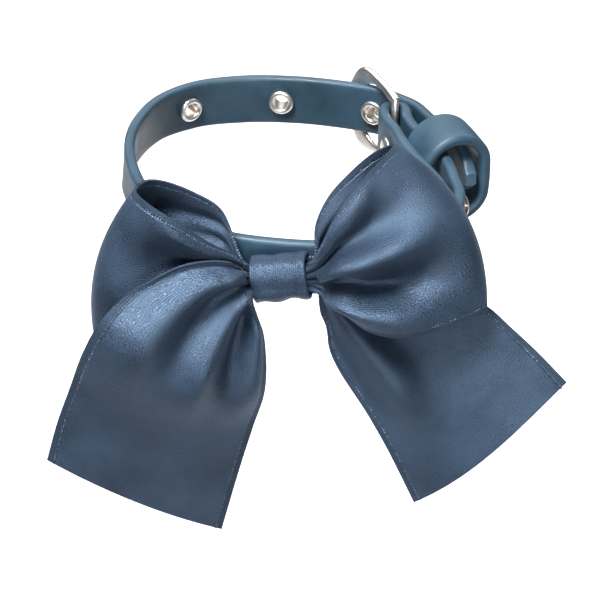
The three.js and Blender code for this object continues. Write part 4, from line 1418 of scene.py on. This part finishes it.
@dataclass
class Bow:
    """The ribbon bow: knot, two loops and two tails."""

    def build(self, finishes: Finishes) -> list[Piece]:
        """Returns the dressed pieces of the bow."""
        plans = [
            Ribbon("bow_loop_left", LEFT_LOOP, LEFT_LOOP_FOLDS, Face.AGAINST_NORMAL, True, 85),
            Ribbon("bow_loop_right", RIGHT_LOOP, RIGHT_LOOP_FOLDS, Face.WITH_NORMAL, True, 95),
            Ribbon("bow_tail_left", LEFT_TAIL, LEFT_TAIL_FOLDS, Face.AGAINST_NORMAL, False, 74),
            Ribbon("bow_tail_right", RIGHT_TAIL, RIGHT_TAIL_FOLDS, Face.WITH_NORMAL, False, 64),
        ]
        knot = Knot().build(finishes)
        return [knot, *(plan.build(finishes, [knot.name]) for plan in plans)]


# The studio


@dataclass(frozen=True)
class Lamp:
    """One soft light.

    Args:
        name: its name.
        place: where it stands, in metres.
        aim: the point that it faces.
        watts: its power.
        across: its width.
        high: its height.
        spread: how wide its grid lets it shine, in degrees.
    """

    name: str
    place: Row
    aim: Row
    watts: float
    across: float
    high: float
    spread: float = 180


@dataclass
class Studio:
    """Floor, lights and camera."""

    distance: float = 0.4
    elevation: float = 28
    lens: float = 104.4
    sensor: float = 36
    aim: Row = (0.0014, -0.050, -0.003)
    floor_level: float = -0.2
    lamps: tuple[Lamp, ...] = (
        Lamp("key", (-0.2, -0.27, 0.63), (0, -0.04, 0), 1.07, 0.28, 0.28, 36),
        Lamp("front", (0.1, -0.85, 0.14), (0, -0.04, 0), 0.8, 0.35, 0.35, 60),
        Lamp("wash", (0, 0.42, 0.28), (0, 0.42, -0.2), 6.5, 0.9, 0.5, 120),
    )
    sky: float = 0.24
    sky_colour: Row = (0.97, 0.98, 1.0, 1.0)
    floor_half: float = 2.5

    def build(self) -> None:
        """Makes the floor, the lights, the sky and the camera."""
        corners = [(x * self.floor_half, y * self.floor_half, self.floor_level)
                   for x, y in ((-1, -1), (1, -1), (1, 1), (-1, 1))]
        floor = new_object("floor", np.array(corners) / MM, [[0, 1, 2, 3]])
        floor.data.materials.append(PaleFloor().build())
        for lamp in self.lamps:
            data = bpy.data.lights.new(lamp.name, "AREA")
            data.shape, data.size, data.size_y = "RECTANGLE", lamp.across, lamp.high
            data.energy = lamp.watts
            data.spread = math.radians(lamp.spread)
            self.point(bpy.data.objects.new(lamp.name, data), Vector(lamp.place), Vector(lamp.aim))
        world = bpy.data.worlds.new("studio")
        world.use_nodes = True
        sky = world.node_tree.nodes["Background"]
        sky.inputs["Color"].default_value = self.sky_colour
        sky.inputs["Strength"].default_value = self.sky
        scene = bpy.context.scene
        scene.world = world
        scene.view_settings.view_transform = "Standard"
        data = bpy.data.cameras.new("camera")
        data.lens, data.sensor_width = self.lens, self.sensor
        angle = math.radians(self.elevation)
        place = Vector((0, -math.cos(angle), math.sin(angle))) * self.distance
        scene.camera = self.point(bpy.data.objects.new("camera", data), place, Vector(self.aim))

    @staticmethod
    def point(thing: Piece, place: Vector, at: Vector) -> Piece:
        """Puts a light or the camera in its place, turned to a point, and returns it."""
        bpy.context.scene.collection.objects.link(thing)
        thing.location = place
        thing.rotation_euler = (at - place).to_track_quat("-Z", "Y").to_euler()
        return thing


def main() -> None:
    """Builds the studio and the collar, piece by piece."""
    logging.basicConfig(level=logging.INFO, format="%(name)s: %(message)s")
    Studio().build()
    finishes = Finishes()
    strap = Strap()
    made = [strap.build(finishes), Keeper().build(finishes)]
    buckle = Buckle()
    made += [buckle.build_frame(finishes), buckle.build_tongue(finishes)]
    fasteners = Fasteners(strap)
    made += [fasteners.build_eyelets(finishes), *fasteners.build_rivets(finishes)]
    post_axis = unit(np.array([KNOT_OUT[0], KNOT_OUT[1], 0.0]))
    made.append(fasteners.build_post(post_axis, finishes))
    made += Bow().build(finishes)
    for piece in made:
        log.info("%s: %d faces", piece.name, len(piece.data.polygons))


if __name__ == "__main__":
    main()
